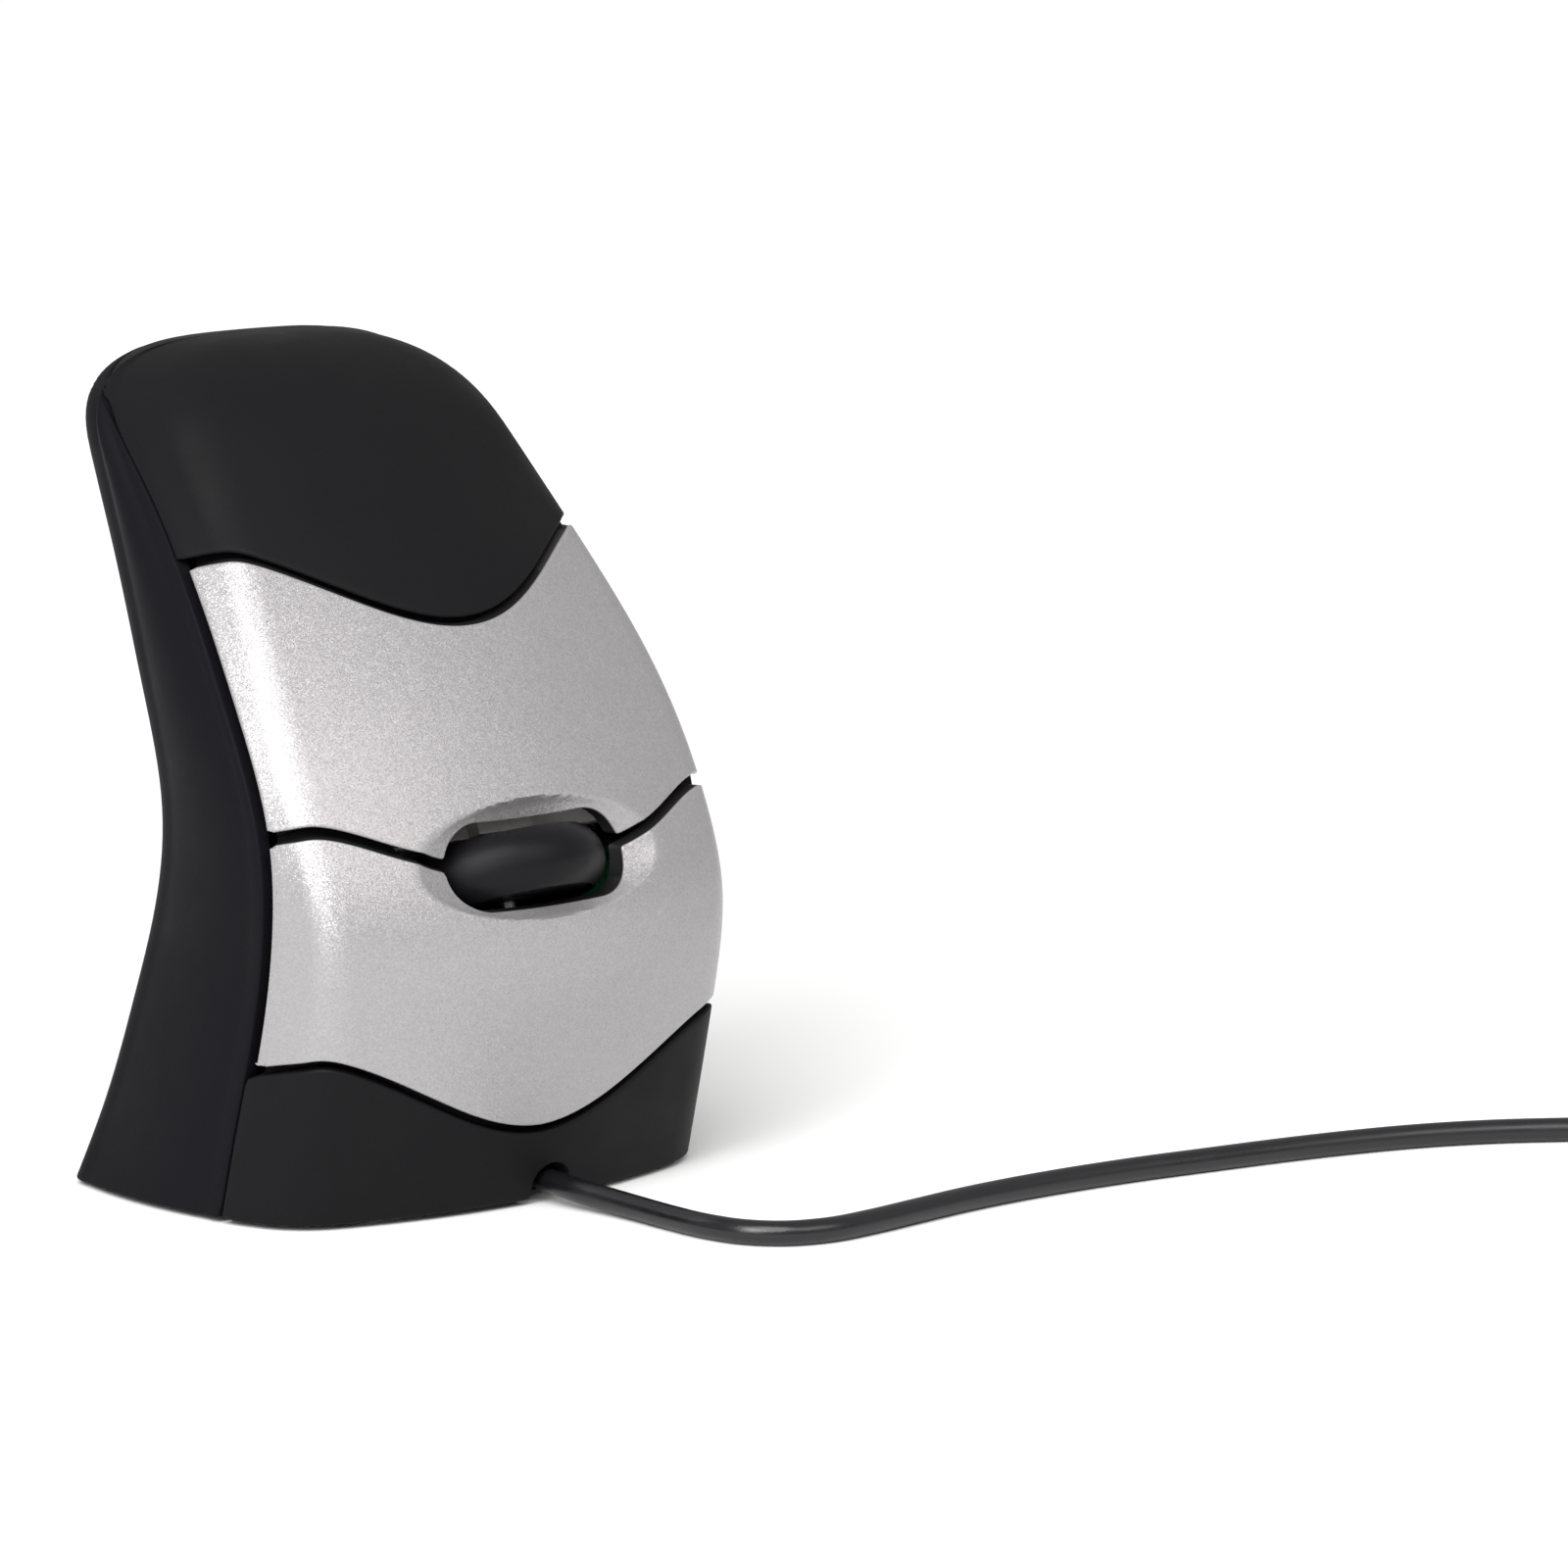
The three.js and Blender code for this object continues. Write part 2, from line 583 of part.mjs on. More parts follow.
function buildCasing() {
  const upperRegion = band(seamPoints(MIDDLE_SEAM, BUTTON_GAP / 2), seamPoints(TOP_SEAM, -CAP_GAP / 2));
  const lowerRegion = band(seamPoints(BOTTOM_SEAM, CAP_GAP / 2), seamPoints(MIDDLE_SEAM, -BUTTON_GAP / 2));
  add('rear_shell', rearShell(), 'sideBlack');
  add('front_shell', frontShell(), 'softBlack');
  add('upper_button', button(upperRegion, UPPER_SWITCH_Z), 'silverPaint');
  add('lower_button', button(lowerRegion, LOWER_SWITCH_Z), 'silverPaint');
  add('base_plate', basePlate(), 'innerPlastic');
}

function buildFeet() {
  let number = 1;
  for (const [x, y, width, height] of GLIDES) {
    for (const side of [-1, 1]) {
      const pad = plate(roundedRectangle(width, height, height / 2 - 0.05), 0, SHELL_FOOT + 0.4);
      add(`glide_foot_${number}`, place(pad, side * x, y, 0), 'slideWhite');
      number += 1;
    }
  }
}

// A cross-slotted screw standing on its head, with its head's lower face at z = 0.
function screw(headRadius, headHeight, shankRadius, length) {
  const profile = [
    [0, 0],
    [headRadius * 0.8, 0],
    [headRadius, headHeight * 0.4],
    [headRadius, headHeight],
    [shankRadius, headHeight],
    [shankRadius, length - shankRadius],
    [0, length],
  ];
  const arm = headRadius * 0.55;
  const slotDepth = headHeight * 0.6;
  const first = box([-arm, -0.25, -1], [arm, 0.25, slotDepth]);
  const second = box([-0.25, -arm, -1], [0.25, arm, slotDepth]);
  return cut(turned(profile, 12), first, second);
}

function buildScrews() {
  let number = 1;
  for (const [x, y] of SHELL_SCREWS) {
    for (const side of [-1, 1]) {
      add(`shell_screw_${number}`, screw(2.6, 0.9, 1.1, 10.5).translate(side * x, y, SHELL_FOOT + 0.1), 'steel');
      number += 1;
    }
  }
  BOARD_POSTS.forEach(([x, y], index) => {
    const top = MAIN_BOARD.z + BOARD_THICKNESS + 1.3;
    const fastener = screw(2, 1.1, 0.7, 5).rotateX(Math.PI).translate(x, y, top);
    add(`board_screw_${index + 1}`, fastener, 'steel');
  });
}

// ---------------------------------------------------------------- wheel

const WHEEL_BORE = 1.5;
const AXLE_RADIUS = 1.2;
const ARM_GAP = 0.4;
const ARM_THICKNESS = 2;
const ENCODER = { width: 11, depth: 10, height: 4.4 };

function aboutWheelAxis(geometry) {
  return place(geometry, 0, WHEEL_DEPTH, 0);
}

function wheelHub() {
  const half = WHEEL_WIDTH / 2 - 0.3;
  const rim = WHEEL_RADIUS - 2.6;
  const web = 3.4;
  return aboutWheelAxis(turned([
    [WHEEL_BORE, -half],
    [3.4, -half],
    [3.4, -web],
    [rim - 1.8, -web],
    [rim - 1.8, -half],
    [rim, -half],
    [rim, half],
    [rim - 1.8, half],
    [rim - 1.8, web],
    [3.4, web],
    [3.4, half],
    [WHEEL_BORE, half],
    [WHEEL_BORE, -half],
  ]));
}

// The rubber tyre, with shoulders rounded over so that it feels like a barrel.
function wheelTyre() {
  const half = WHEEL_WIDTH / 2;
  const inner = WHEEL_RADIUS - 2.4;
  const round = 2;
  const outline = [[inner, -half]];
  const steps = 4;
  for (const side of [-1, 1]) {
    for (let step = 0; step <= steps; step += 1) {
      const angle = (side < 0 ? -1 + step / steps : step / steps) * Math.PI / 2;
      const radius = WHEEL_RADIUS - round + round * Math.cos(angle);
      outline.push([radius, side * (half - round) + round * Math.sin(angle)]);
    }
  }
  outline.push([inner, half], [inner, -half]);
  return aboutWheelAxis(turned(outline, 32));
}

function wheelCarrier() {
  const armLow = WHEEL_WIDTH / 2 + ARM_GAP;
  const armHigh = armLow + ARM_THICKNESS;
  const back = WHEEL_DEPTH + WHEEL_RADIUS + 0.8;
  let shape = solid(box([-4, back, -armHigh], [4, back + 2, armHigh]));
  for (const side of [-1, 1]) {
    const low = Math.min(side * armLow, side * armHigh);
    const high = low + ARM_THICKNESS;
    shape = shape.add(solid(box([-4, WHEEL_DEPTH - 3.6, low], [4, back + 1, high])));
  }
  shape = shape.add(solid(box([-22, 9, armLow], [22, 10.8, armHigh])));
  shape = shape.subtract(solid(aboutWheelAxis(bar(WHEEL_BORE, -20, 20))));
  return geometryOf(shape);
}

function wheelAxle() {
  const lower = -(WHEEL_WIDTH / 2 + ARM_GAP + ARM_THICKNESS + 0.7);
  const upper = WHEEL_WIDTH / 2 + ARM_GAP + ARM_THICKNESS;
  const round = bar(AXLE_RADIUS, lower, upper, 0, 0, 16);
  const flats = bar(0.9, upper - 0.5, upper + 0.3 + ENCODER.height, 0, 0, 6);
  return aboutWheelAxis(geometryOf(solid(round).add(solid(flats))));
}

function encoderBody() {
  const low = WHEEL_WIDTH / 2 + ARM_GAP + ARM_THICKNESS + 0.2;
  const half = ENCODER.width / 2;
  const front = WHEEL_DEPTH - ENCODER.depth / 2;
  const shell = box([-half, front, low], [half, front + ENCODER.depth, low + ENCODER.height]);
  return cut(shell, aboutWheelAxis(bar(3.2, low - 1, low + ENCODER.height + 1, 0, 0, 24)));
}

function encoderRotor() {
  const low = WHEEL_WIDTH / 2 + ARM_GAP + ARM_THICKNESS + 0.5;
  const disc = bar(2.9, low, low + ENCODER.height - 0.6, 0, 0, 24);
  return aboutWheelAxis(cut(disc, bar(1.2, low - 1, low + ENCODER.height, 0, 0, 6)));
}

// A bent strip on the button board that pushes the carrier back out.
function leafSpring() {
  const outer = [[-21, 14.3], [-17, 14.3], [-15.8, 13.1], [-17, 11.9], [-21.5, 11.6]];
  const inner = [[-21.5, 11.9], [-17.1, 12.2], [-16.2, 13.1], [-17.1, 14], [-21, 14]];
  return place(plate([...outer, ...inner].reverse(), -1.5, 1.5), 0, 0, WHEEL_WIDTH / 2 + ARM_GAP + 1);
}

function buildWheel() {
  add('scroll_wheel_hub', wheelHub(), 'innerPlastic', faceFrame);
  add('scroll_wheel_tyre', wheelTyre(), 'rubber', faceFrame);
  add('wheel_axle', wheelAxle(), 'steel', faceFrame);
  add('wheel_carrier', wheelCarrier(), 'whitePlastic', faceFrame);
  add('encoder_body', encoderBody(), 'innerPlastic', faceFrame);
  add('encoder_rotor', encoderRotor(), 'whitePlastic', faceFrame);
  add('wheel_leaf_spring', leafSpring(), 'steel', faceFrame);
}

// ---------------------------------------------------------------- switches and boards

function switchBody(centreZ) {
  const back = BUTTON_BOARD_Y - 0.02;
  const front = back - SWITCH.depth;
  const half = [SWITCH.width / 2, SWITCH.height / 2];
  const body = box([-half[0], front, centreZ - half[1]], [half[0], back, centreZ + half[1]]);
  const clearance = 0.15;
  const pocket = box(
    [-PLUNGER.width / 2 - clearance, front - 1, centreZ - PLUNGER.height / 2 - clearance],
    [PLUNGER.width / 2 + clearance, front + PLUNGER.length + 0.3, centreZ + PLUNGER.height / 2 + clearance],
  );
  return cut(body, pocket);
}

function switchPlunger(centreZ) {
  const front = BUTTON_BOARD_Y - 0.02 - SWITCH.depth - PLUNGER.proud;
  return box(
    [-PLUNGER.width / 2, front, centreZ - PLUNGER.height / 2],
    [PLUNGER.width / 2, front + PLUNGER.length, centreZ + PLUNGER.height / 2],
  );
}

function wheelSwitch() {
  const middle = WHEEL_WIDTH / 2 + ARM_GAP + 1;
  const back = BUTTON_BOARD_Y - 0.02;
  const body = box([WHEEL_SWITCH_X - 3, back - 1.9, middle - 3], [WHEEL_SWITCH_X + 3, back, middle + 3]);
  const hole = bar(1.75, 0, 10, 0, 0, 16).rotateX(Math.PI / 2).translate(WHEEL_SWITCH_X, back, middle);
  const stem = bar(1.5, 0, STEM_LENGTH, 0, 0, 16).rotateX(Math.PI / 2).translate(WHEEL_SWITCH_X, back - 0.8, middle);
  const floor = box([WHEEL_SWITCH_X - 3, back - 0.2, middle - 3], [WHEEL_SWITCH_X + 3, back, middle + 3]);
  return [geometryOf(solid(body).subtract(solid(hole)).add(solid(floor))), stem];
}

function buttonBoard() {
  const outline = [[-23, 23], [-23, -8], [-16, -17.6], [16, -17.6], [23, -8], [23, 23]];
  const back = BUTTON_BOARD_Y + BOARD_THICKNESS;
  const board = blockAlongY(outline, BUTTON_BOARD_Y, back);
  return cut(board, box([-14.6, 10, -9.4], [14.6, 20, 13.6]));
}

function buildSwitches() {
  const [wheelSwitchBody, wheelSwitchStem] = wheelSwitch();
  add('button_board', buttonBoard(), 'boardGreen', faceFrame);
  add('upper_switch_body', switchBody(UPPER_SWITCH_Z), 'innerPlastic', faceFrame);
  add('upper_switch_plunger', switchPlunger(UPPER_SWITCH_Z), 'redPlunger', faceFrame);
  add('lower_switch_body', switchBody(LOWER_SWITCH_Z), 'innerPlastic', faceFrame);
  add('lower_switch_plunger', switchPlunger(LOWER_SWITCH_Z), 'redPlunger', faceFrame);
  add('wheel_switch_body', wheelSwitchBody, 'steel', faceFrame);
  add('wheel_switch_stem', wheelSwitchStem, 'innerPlastic', faceFrame);
}

function buildMainBoard() {
  const { x, front, back, z } = MAIN_BOARD;
  const top = z + BOARD_THICKNESS;
  const holes = BOARD_POSTS.map(([postX, postY]) => bar(1, z - 1, top + 1, postX, postY, 12));
  add('main_board', cut(box([-x, front, z], [x, back, top]), ...holes), 'boardGreen');
  add('optical_sensor', box([-4.6, -3.2, z - 1.5], [4.6, 5.2, z - 0.02]), 'innerPlastic');
  const lensBlock = box([-6.4, -5.2, SHELL_FOOT + BASE_THICKNESS + 0.02], [6.4, 6.6, z - 1.7]);
  add('sensor_lens', cut(lensBlock, bar(2, 0, 3.6, 0, 0, 18)), 'clearLens');
  add('sensor_led', turned([[0, 0], [1.5, 0], [1.5, 3.4], [1.1, 4.3], [0, 4.7]], 16)
    .rotateX(-Math.PI / 2).translate(0, -12.6, 4.6), 'clearLens');
  add('cable_header', cut(
    box([2, -13, top + 0.02], [14, -8.4, top + 5.2]),
    box([3, -12.2, top + 1.4], [13, -9.2, top + 9]),
  ), 'whitePlastic');
  add('cable_connector', box([3.3, -11.9, top + 1.7], [12.7, -9.5, top + 6.8]), 'whitePlastic');
}

// ---------------------------------------------------------------- cord and plug

function tubeAlong(points, radius, steps, sides = 8) {
  const curve = new THREE.CatmullRomCurve3(points.map((point) => new THREE.Vector3(...point)), false, 'centripetal');
  const section = [];
  for (let side = 0; side < sides; side += 1) {
    const angle = 2 * Math.PI * side / sides;
    section.push([radius * Math.cos(angle), radius * Math.sin(angle)]);
  }
  return new THREE.ExtrudeGeometry(outlineOf(section), { steps, extrudePath: curve, bevelEnabled: false });
}

function grommet() {
  const hole = CORD_RADIUS + 0.3;
  const sleeve = turned([
    [hole, 0],
    [2.3, 0],
    [2.3, 2.2],
    [2.05, 2.4],
    [2.05, 3.6],
    [2.3, 3.8],
    [2.3, 6],
    [hole, 6],
    [hole, 0],
  ], 20);
  return sleeve.rotateX(-Math.PI / 2).translate(EXIT[0], EXIT[1], EXIT[2]);
}

function innerCable() {
  const top = MAIN_BOARD.z + BOARD_THICKNESS;
  return tubeAlong([
    [EXIT[0], EXIT[1] + 0.1, EXIT[2]],
    [EXIT[0], EXIT[1] + 6.5, EXIT[2]],
    [EXIT[0] + 0.8, EXIT[1] + 9, 4.5],
    [EXIT[0] + 2, EXIT[1] + 8.6, 9.5],
    [EXIT[0] + 3.6, EXIT[1] + 9.6, 16.5],
    [EXIT[0] + 5, EXIT[1] + 13, 19.6],
    [EXIT[0] + 5.2, EXIT[1] + 14.9, 18.4],
    [EXIT[0] + 5.2, EXIT[1] + 14.9, top + 7.1],
  ], 1.1, 26);
}

// A soft flat lead that joins the two boards.
function boardLink() {
  const top = MAIN_BOARD.z + BOARD_THICKNESS;
  const width = 8;
  const thickness = 0.6;
  const line = [[8.6, top + 0.3], [8.6, top + 6], [5, 18], [-3, 25], [-7, 30], [-9.4, 34.6]];
  const curve = new THREE.CatmullRomCurve3(line.map(([y, z]) => new THREE.Vector3(0, y, z)));
  const places = curve.getPoints(12);
  const shifted = places.map((point, index) => {
    const way = curve.getTangent(index / 12);
    return [point.y + way.z * thickness, point.z - way.y * thickness];
  });
  const outline = [...places.map((point) => [point.y, point.z]), ...shifted.reverse()];
  return place(blockAlongX(outline, -width / 2, width / 2), -14, 0, 0);
}

function coilRing() {
  const [inner] = COIL.radii;
  const outer = COIL.radii[COIL.radii.length - 1];
  const height = 2 * CORD_RADIUS * COIL.layers;
  const ring = turned([
    [inner - CORD_RADIUS, 0],
    [outer + CORD_RADIUS, 0],
    [outer + CORD_RADIUS, height],
    [inner - CORD_RADIUS, height],
    [inner - CORD_RADIUS, 0],
  ], 32);
  return ring.translate(...COIL.centre, 0);
}

// A wire tie that goes once round the coil's bundle, opposite the plug.
function coilTie() {
  const inner = COIL.radii[0] - CORD_RADIUS;
  const outer = COIL.radii[3] + CORD_RADIUS;
  const height = 2 * CORD_RADIUS * COIL.layers;
  const gap = 0.3;
  const thickness = 1;
  const strap = box([inner - gap - thickness, -2, 0], [outer + gap + thickness, 2, height + gap + thickness]);
  const hollow = box([inner - gap, -3, -1], [outer + gap, 3, height + gap]);
  const tie = cut(strap, hollow);
  return tie.rotateZ(degrees(115)).translate(...COIL.centre, 0);
}

// The plug lies flat with its contacts pointing along local x.
function buildPlug() {
  const plug = new THREE.Group();
  plug.position.set(...PLUG_PLACE);
  plug.rotation.z = PLUG_HEADING;
  mouse.add(plug);
  const relief = turned([[0, 0], [2, 0], [2.9, 8.6], [0, 8.6]], 16).rotateX(Math.PI / 2).rotateZ(Math.PI / 2);
  add('plug_strain_relief', relief, 'cordVinyl', plug);
  const grip = blockAlongX(roundedRectangle(11.6, 6.8, 1.6, 3), 8.9, 31);
  add('plug_body', grip, 'cordVinyl', plug);
  const shell = cut(
    blockAlongX(roundedRectangle(12, 4.5, 0.4, 1), 31.3, 43.2),
    box([32, -5.6, -1.95], [60, 5.6, 1.95]),
    box([35.4, -4, 1], [37.6, -1.8, 4]),
    box([35.4, 1.8, 1], [37.6, 4, 4]),
  );
  add('plug_shell', shell, 'steel', plug);
  add('plug_tongue', box([32.3, -5.3, -1.7], [42.6, 5.3, -0.1]), 'whitePlastic', plug);
}

function buildCord() {
  add('cable_grommet', grommet(), 'cordVinyl');
  add('inner_cable', innerCable(), 'cordVinyl');
  add('board_link', boardLink(), 'innerPlastic');
  add('cord_tube', tubeAlong(CORD_ROUTE, CORD_RADIUS, 30), 'cordVinyl');
  add('cord_coil', coilRing(), 'cordVinyl');
  add('cord_tail', tubeAlong(TAIL_ROUTE, CORD_RADIUS, 6), 'cordVinyl');
  add('cord_tie', coilTie(), 'innerPlastic');
  buildPlug();
}

buildCasing();
buildFeet();
buildScrews();
buildWheel();
buildSwitches();
buildMainBoard();
buildCord();

export default mouse;
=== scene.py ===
"""Upright computer mouse: fin-shaped body, two silver buttons, thumb wheel and cord."""

import math

import bpy
import numpy as np
from bpy.props import FloatProperty, FloatVectorProperty, PointerProperty
from mathutils import Matrix, Vector


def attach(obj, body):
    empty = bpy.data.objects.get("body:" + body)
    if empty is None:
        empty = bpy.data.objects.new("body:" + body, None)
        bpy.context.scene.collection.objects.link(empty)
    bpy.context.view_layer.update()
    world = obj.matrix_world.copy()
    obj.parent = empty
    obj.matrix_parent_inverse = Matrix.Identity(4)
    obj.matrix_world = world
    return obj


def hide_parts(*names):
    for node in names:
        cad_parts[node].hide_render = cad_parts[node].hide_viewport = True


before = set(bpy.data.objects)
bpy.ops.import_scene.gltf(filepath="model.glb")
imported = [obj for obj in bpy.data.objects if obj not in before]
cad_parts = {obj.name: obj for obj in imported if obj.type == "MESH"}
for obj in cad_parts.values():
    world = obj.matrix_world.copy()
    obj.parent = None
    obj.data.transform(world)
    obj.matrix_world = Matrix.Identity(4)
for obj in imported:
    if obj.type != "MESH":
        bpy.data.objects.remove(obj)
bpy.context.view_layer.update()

bl_info = {
    "name": "Upright Mouse",
    "version": (1, 0, 0),
    "blender": (4, 5, 0),
    "location": "View3D > Sidebar > Upright Mouse",
    "description": "Builds an upright computer mouse, its cord and its studio",
    "category": "Add Mesh",
}

# Shape of the body, in millimetres, as in the CAD model. The rows are level sections:
# height, ridge x y, crown, seam x y, heel x y, bulge, ridge setback, heel setback.
SECTIONS = np.array([
    [0, 30.6, -22.2, 6.2, 34.6, -12.4, 36.8, 17.4, 4, 6, 4],
    [12, 30, -25.8, 5.4, 34, -15.2, 34.6, 12.8, 4, 5, 4],
    [24, 29.9, -28.4, 5, 33.4, -18.2, 33, 9.4, 4, 3.6, 4.5],
    [36, 29.9, -29.4, 5, 33.2, -20.2, 31.6, 6.6, 4, 3, 5],
    [48, 29.6, -25, 5.2, 33, -19, 30.9, 6.2, 4, 2.6, 5.5],
    [62, 28.4, -17, 5.2, 32, -11.2, 30.6, 10.8, 4, 2.6, 6],
    [77, 25.6, -5.8, 5.2, 29.4, 1.8, 28.6, 19.6, 4, 2.8, 6.5],
    [91, 23.4, 6.4, 4.6, 26.6, 16.3, 26.2, 29.4, 3.6, 4.5, 7],
    [104, 21.8, 18.2, 4.2, 24.4, 28.8, 24.2, 36.8, 3, 6, 7],
])
BODY_TOP = 101.6
DOME_START = 88.0
DOME_POWER = 2.9
CREST_SHARE = 0.44
SHELL_FOOT = 0.6
WALL = 2.0
DEPTH_SHIFT = 0.67
SIDE_BOW = 1.0

TOP_SEAM = {"middle": 70, "ridge": 79.2, "groove": 77.4, "ridge_x": 25.3, "groove_x": 29, "curl": 2.2, "sweep": 0.5, "power": 1}
MIDDLE_SEAM = {"middle": 43.4, "ridge": 49, "groove": 47.2, "ridge_x": 29.4, "groove_x": 33, "curl": 2.2, "sweep": 0.6, "power": 3}
BOTTOM_SEAM = {"middle": 9.8, "ridge": 21.6, "groove": 19.2, "ridge_x": 29.8, "groove_x": 33.4, "curl": 1.6, "sweep": 0.5, "power": 1}
SEAM_TURN = 1.2
PARTING_TURN = 80.0
PARTING_LEAN = 0.0125
SHELL_GAP = 0.3
CAP_GAP = 1.0
BUTTON_GAP = 1.4
SIDE_GAP = 1.2
BUTTON_WALL = 1.8
BED_TOP = 3.0
BED_FLOOR = 4.6

FACE_ORIGIN = (0.0, -32.3 + DEPTH_SHIFT, 43.4)
FACE_LEAN = math.radians(22)
WHEEL_RADIUS = 13.0
WHEEL_WIDTH = 8.8
WHEEL_DEPTH = 10.3
WHEEL_BORE = 1.5
TYRE_CROWN = 2.4
TYRE_TRIM = 0.6
SLOT_LENGTH = 26.4
SLOT_HEIGHT = 10.8
SLOT_END = 5.4
DISH = np.array([19.8, 3.6, 7.4])
DISH_WALL = 1.8
BUTTON_BOARD_Y = 14.5
SWITCH_DEPTH = 6.5
PLUNGER_PROUD = 0.7
POST_GAP = 0.15
UPPER_SWITCH_Z = 18.0
LOWER_SWITCH_Z = -13.6

CORD_RADIUS = 1.5
EXIT = (2.8, -25.6 + DEPTH_SHIFT, 2.7)
ARCH_HALF_WIDTH = 2.8
ARCH_HEIGHT = 5.0
SHELL_SCREWS = [(25.5, -15.5), (27.5, 8.0)]

# The cord's way from the grommet along the desk, and from the coil down to the plug.
CORD_ROUTE = [
    (2.8, -25.9, 2.7), (2.8, -29.5, 2.6), (3.2, -33.5, 2.3), (4.2, -38, 1.9),
    (5, -43.5, 1.6), (5.4, -49.5, 1.5), (6, -55, 1.5), (7.7, -60, 1.5),
    (11, -63.6, 1.5), (16, -65.5, 1.5), (22, -65.6, 1.5), (30, -64.9, 1.5),
    (38, -64.2, 1.5), (46, -64.1, 1.5), (55, -64.6, 1.5), (65, -65.8, 1.5),
    (75, -67.6, 1.5), (85, -69.5, 1.5), (95, -71.9, 1.5), (105, -75.2, 1.5),
    (114, -79.6, 1.5), (124, -86.2, 1.5), (134.8, -93, 1.5),
]
TAIL_ROUTE = [
    (170.9, -107.8, 9), (175, -108.4, 7.4), (179, -108, 5.6),
    (183, -106.2, 4.3), (186.4, -103.2, 3.6), (189.2, -99.5, 3.5),
]
COIL_CENTRE = (162.6, -84.8)
COIL_RADII = (12.0, 15.0, 18.0, 21.0)
COIL_HEIGHT = 12.0
PLUG_PLACE = (189.38, -99.26 + DEPTH_SHIFT, 3.5)
PLUG_HEADING = math.atan2(0.8, 0.6)


# ---------------------------------------------------------------- sizes and colours


class MouseSizes(bpy.types.PropertyGroup):
    """Sizes that change how finely the mouse is finished."""

    edge_round: FloatProperty(
        name="Edge Rounding", description="Radius of the moulded edges along the seams",
        default=0.00036, min=0.0001, max=0.0006, unit="LENGTH", precision=5)
    dish_blend: FloatProperty(
        name="Dish Blend", description="How softly the dish runs into the buttons' faces",
        default=0.00045, min=0.0001, max=0.002, unit="LENGTH", precision=5)
    tyre_round: FloatProperty(
        name="Tyre Shoulder", description="How far the wheel tyre's shoulders fall below its crown",
        default=0.00205, min=0.0005, max=0.0021, unit="LENGTH", precision=5)
    floor_size: FloatProperty(
        name="Desk Size", description="Side of the pale desk that the mouse stands on",
        default=16.0, min=1.0, max=20.0, unit="LENGTH")


class MouseColours(bpy.types.PropertyGroup):
    """Colours of the mouse's finishes."""

    silver: FloatVectorProperty(
        name="Silver Paint", description="Paint of the two buttons", subtype="COLOR",
        size=4, default=(0.365, 0.352, 0.360, 1), min=0, max=1)
    soft_black: FloatVectorProperty(
        name="Soft-Touch Black", description="Coating of the cap and the skirt", subtype="COLOR",
        size=4, default=(0.0060, 0.0058, 0.0066, 1), min=0, max=1)
    side_black: FloatVectorProperty(
        name="Side Black", description="Moulding of the back and sides", subtype="COLOR",
        size=4, default=(0.0070, 0.0068, 0.0088, 1), min=0, max=1)
    rubber: FloatVectorProperty(
        name="Tyre Rubber", description="Rubber of the wheel's tyre", subtype="COLOR",
        size=4, default=(0.0055, 0.0054, 0.0066, 1), min=0, max=1)
    vinyl: FloatVectorProperty(
        name="Cord Vinyl", description="Jacket of the cord", subtype="COLOR",
        size=4, default=(0.0055, 0.0055, 0.0068, 1), min=0, max=1)
    board: FloatVectorProperty(
        name="Board Green", description="Lacquer of the circuit boards", subtype="COLOR",
        size=4, default=(0.015, 0.105, 0.04, 1), min=0, max=1)
    desk: FloatVectorProperty(
        name="Desk", description="The pale desk top", subtype="COLOR",
        size=4, default=(0.9, 0.9, 0.9, 1), min=0, max=1)


def sizes():
    return bpy.context.scene.mouse_sizes


def colour(name):
    return tuple(getattr(bpy.context.scene.mouse_colours, name))


# ---------------------------------------------------------------- the body's surface


def natural_curve(places, values):
    """A smooth curve through values at the given places, free at both ends."""
    count = len(places)
    step = np.diff(places)
    system = np.zeros((count, count))
    target = np.zeros(count)
    system[0, 0] = system[-1, -1] = 1
    for i in range(1, count - 1):
        system[i, i - 1:i + 2] = step[i - 1], 2 * (step[i - 1] + step[i]), step[i]
        target[i] = 6 * ((values[i + 1] - values[i]) / step[i] - (values[i] - values[i - 1]) / step[i - 1])
    bends = np.linalg.solve(system, target)

    def at(place):
        place = np.asarray(place, float)
        i = np.clip(np.searchsorted(places, place) - 1, 0, count - 2)
        share = (place - places[i]) / step[i]
        rest = 1 - share
        curved = (rest**3 - rest) * bends[i] + (share**3 - share) * bends[i + 1]
        return rest * values[i] + share * values[i + 1] + curved * step[i]**2 / 6

    return at


(RIDGE_X, RIDGE_Y, CROWN, SEAM_X, SEAM_Y, HEEL_X, HEEL_Y, BULGE, RIDGE_SETBACK, HEEL_SETBACK) = [
    natural_curve(SECTIONS[:, 0], SECTIONS[:, column]) for column in range(1, 11)]


def pair(x, y):
    return np.stack(np.broadcast_arrays(x, y), -1).astype(float)


def unit(way):
    return way / np.linalg.norm(way, axis=-1, keepdims=True)


def inward(way):
    return unit(pair(-way[..., 1], way[..., 0]))


def inset_corner(corner, before, after, inset):
    first, second = inward(before), inward(after)
    reach = inset / (1 + (first * second).sum(-1))
    return corner + (first + second) * reach[..., None]


def bezier(start, middle, end, t):
    return start * (1 - t)**2 + middle * 2 * t * (1 - t) + end * t**2


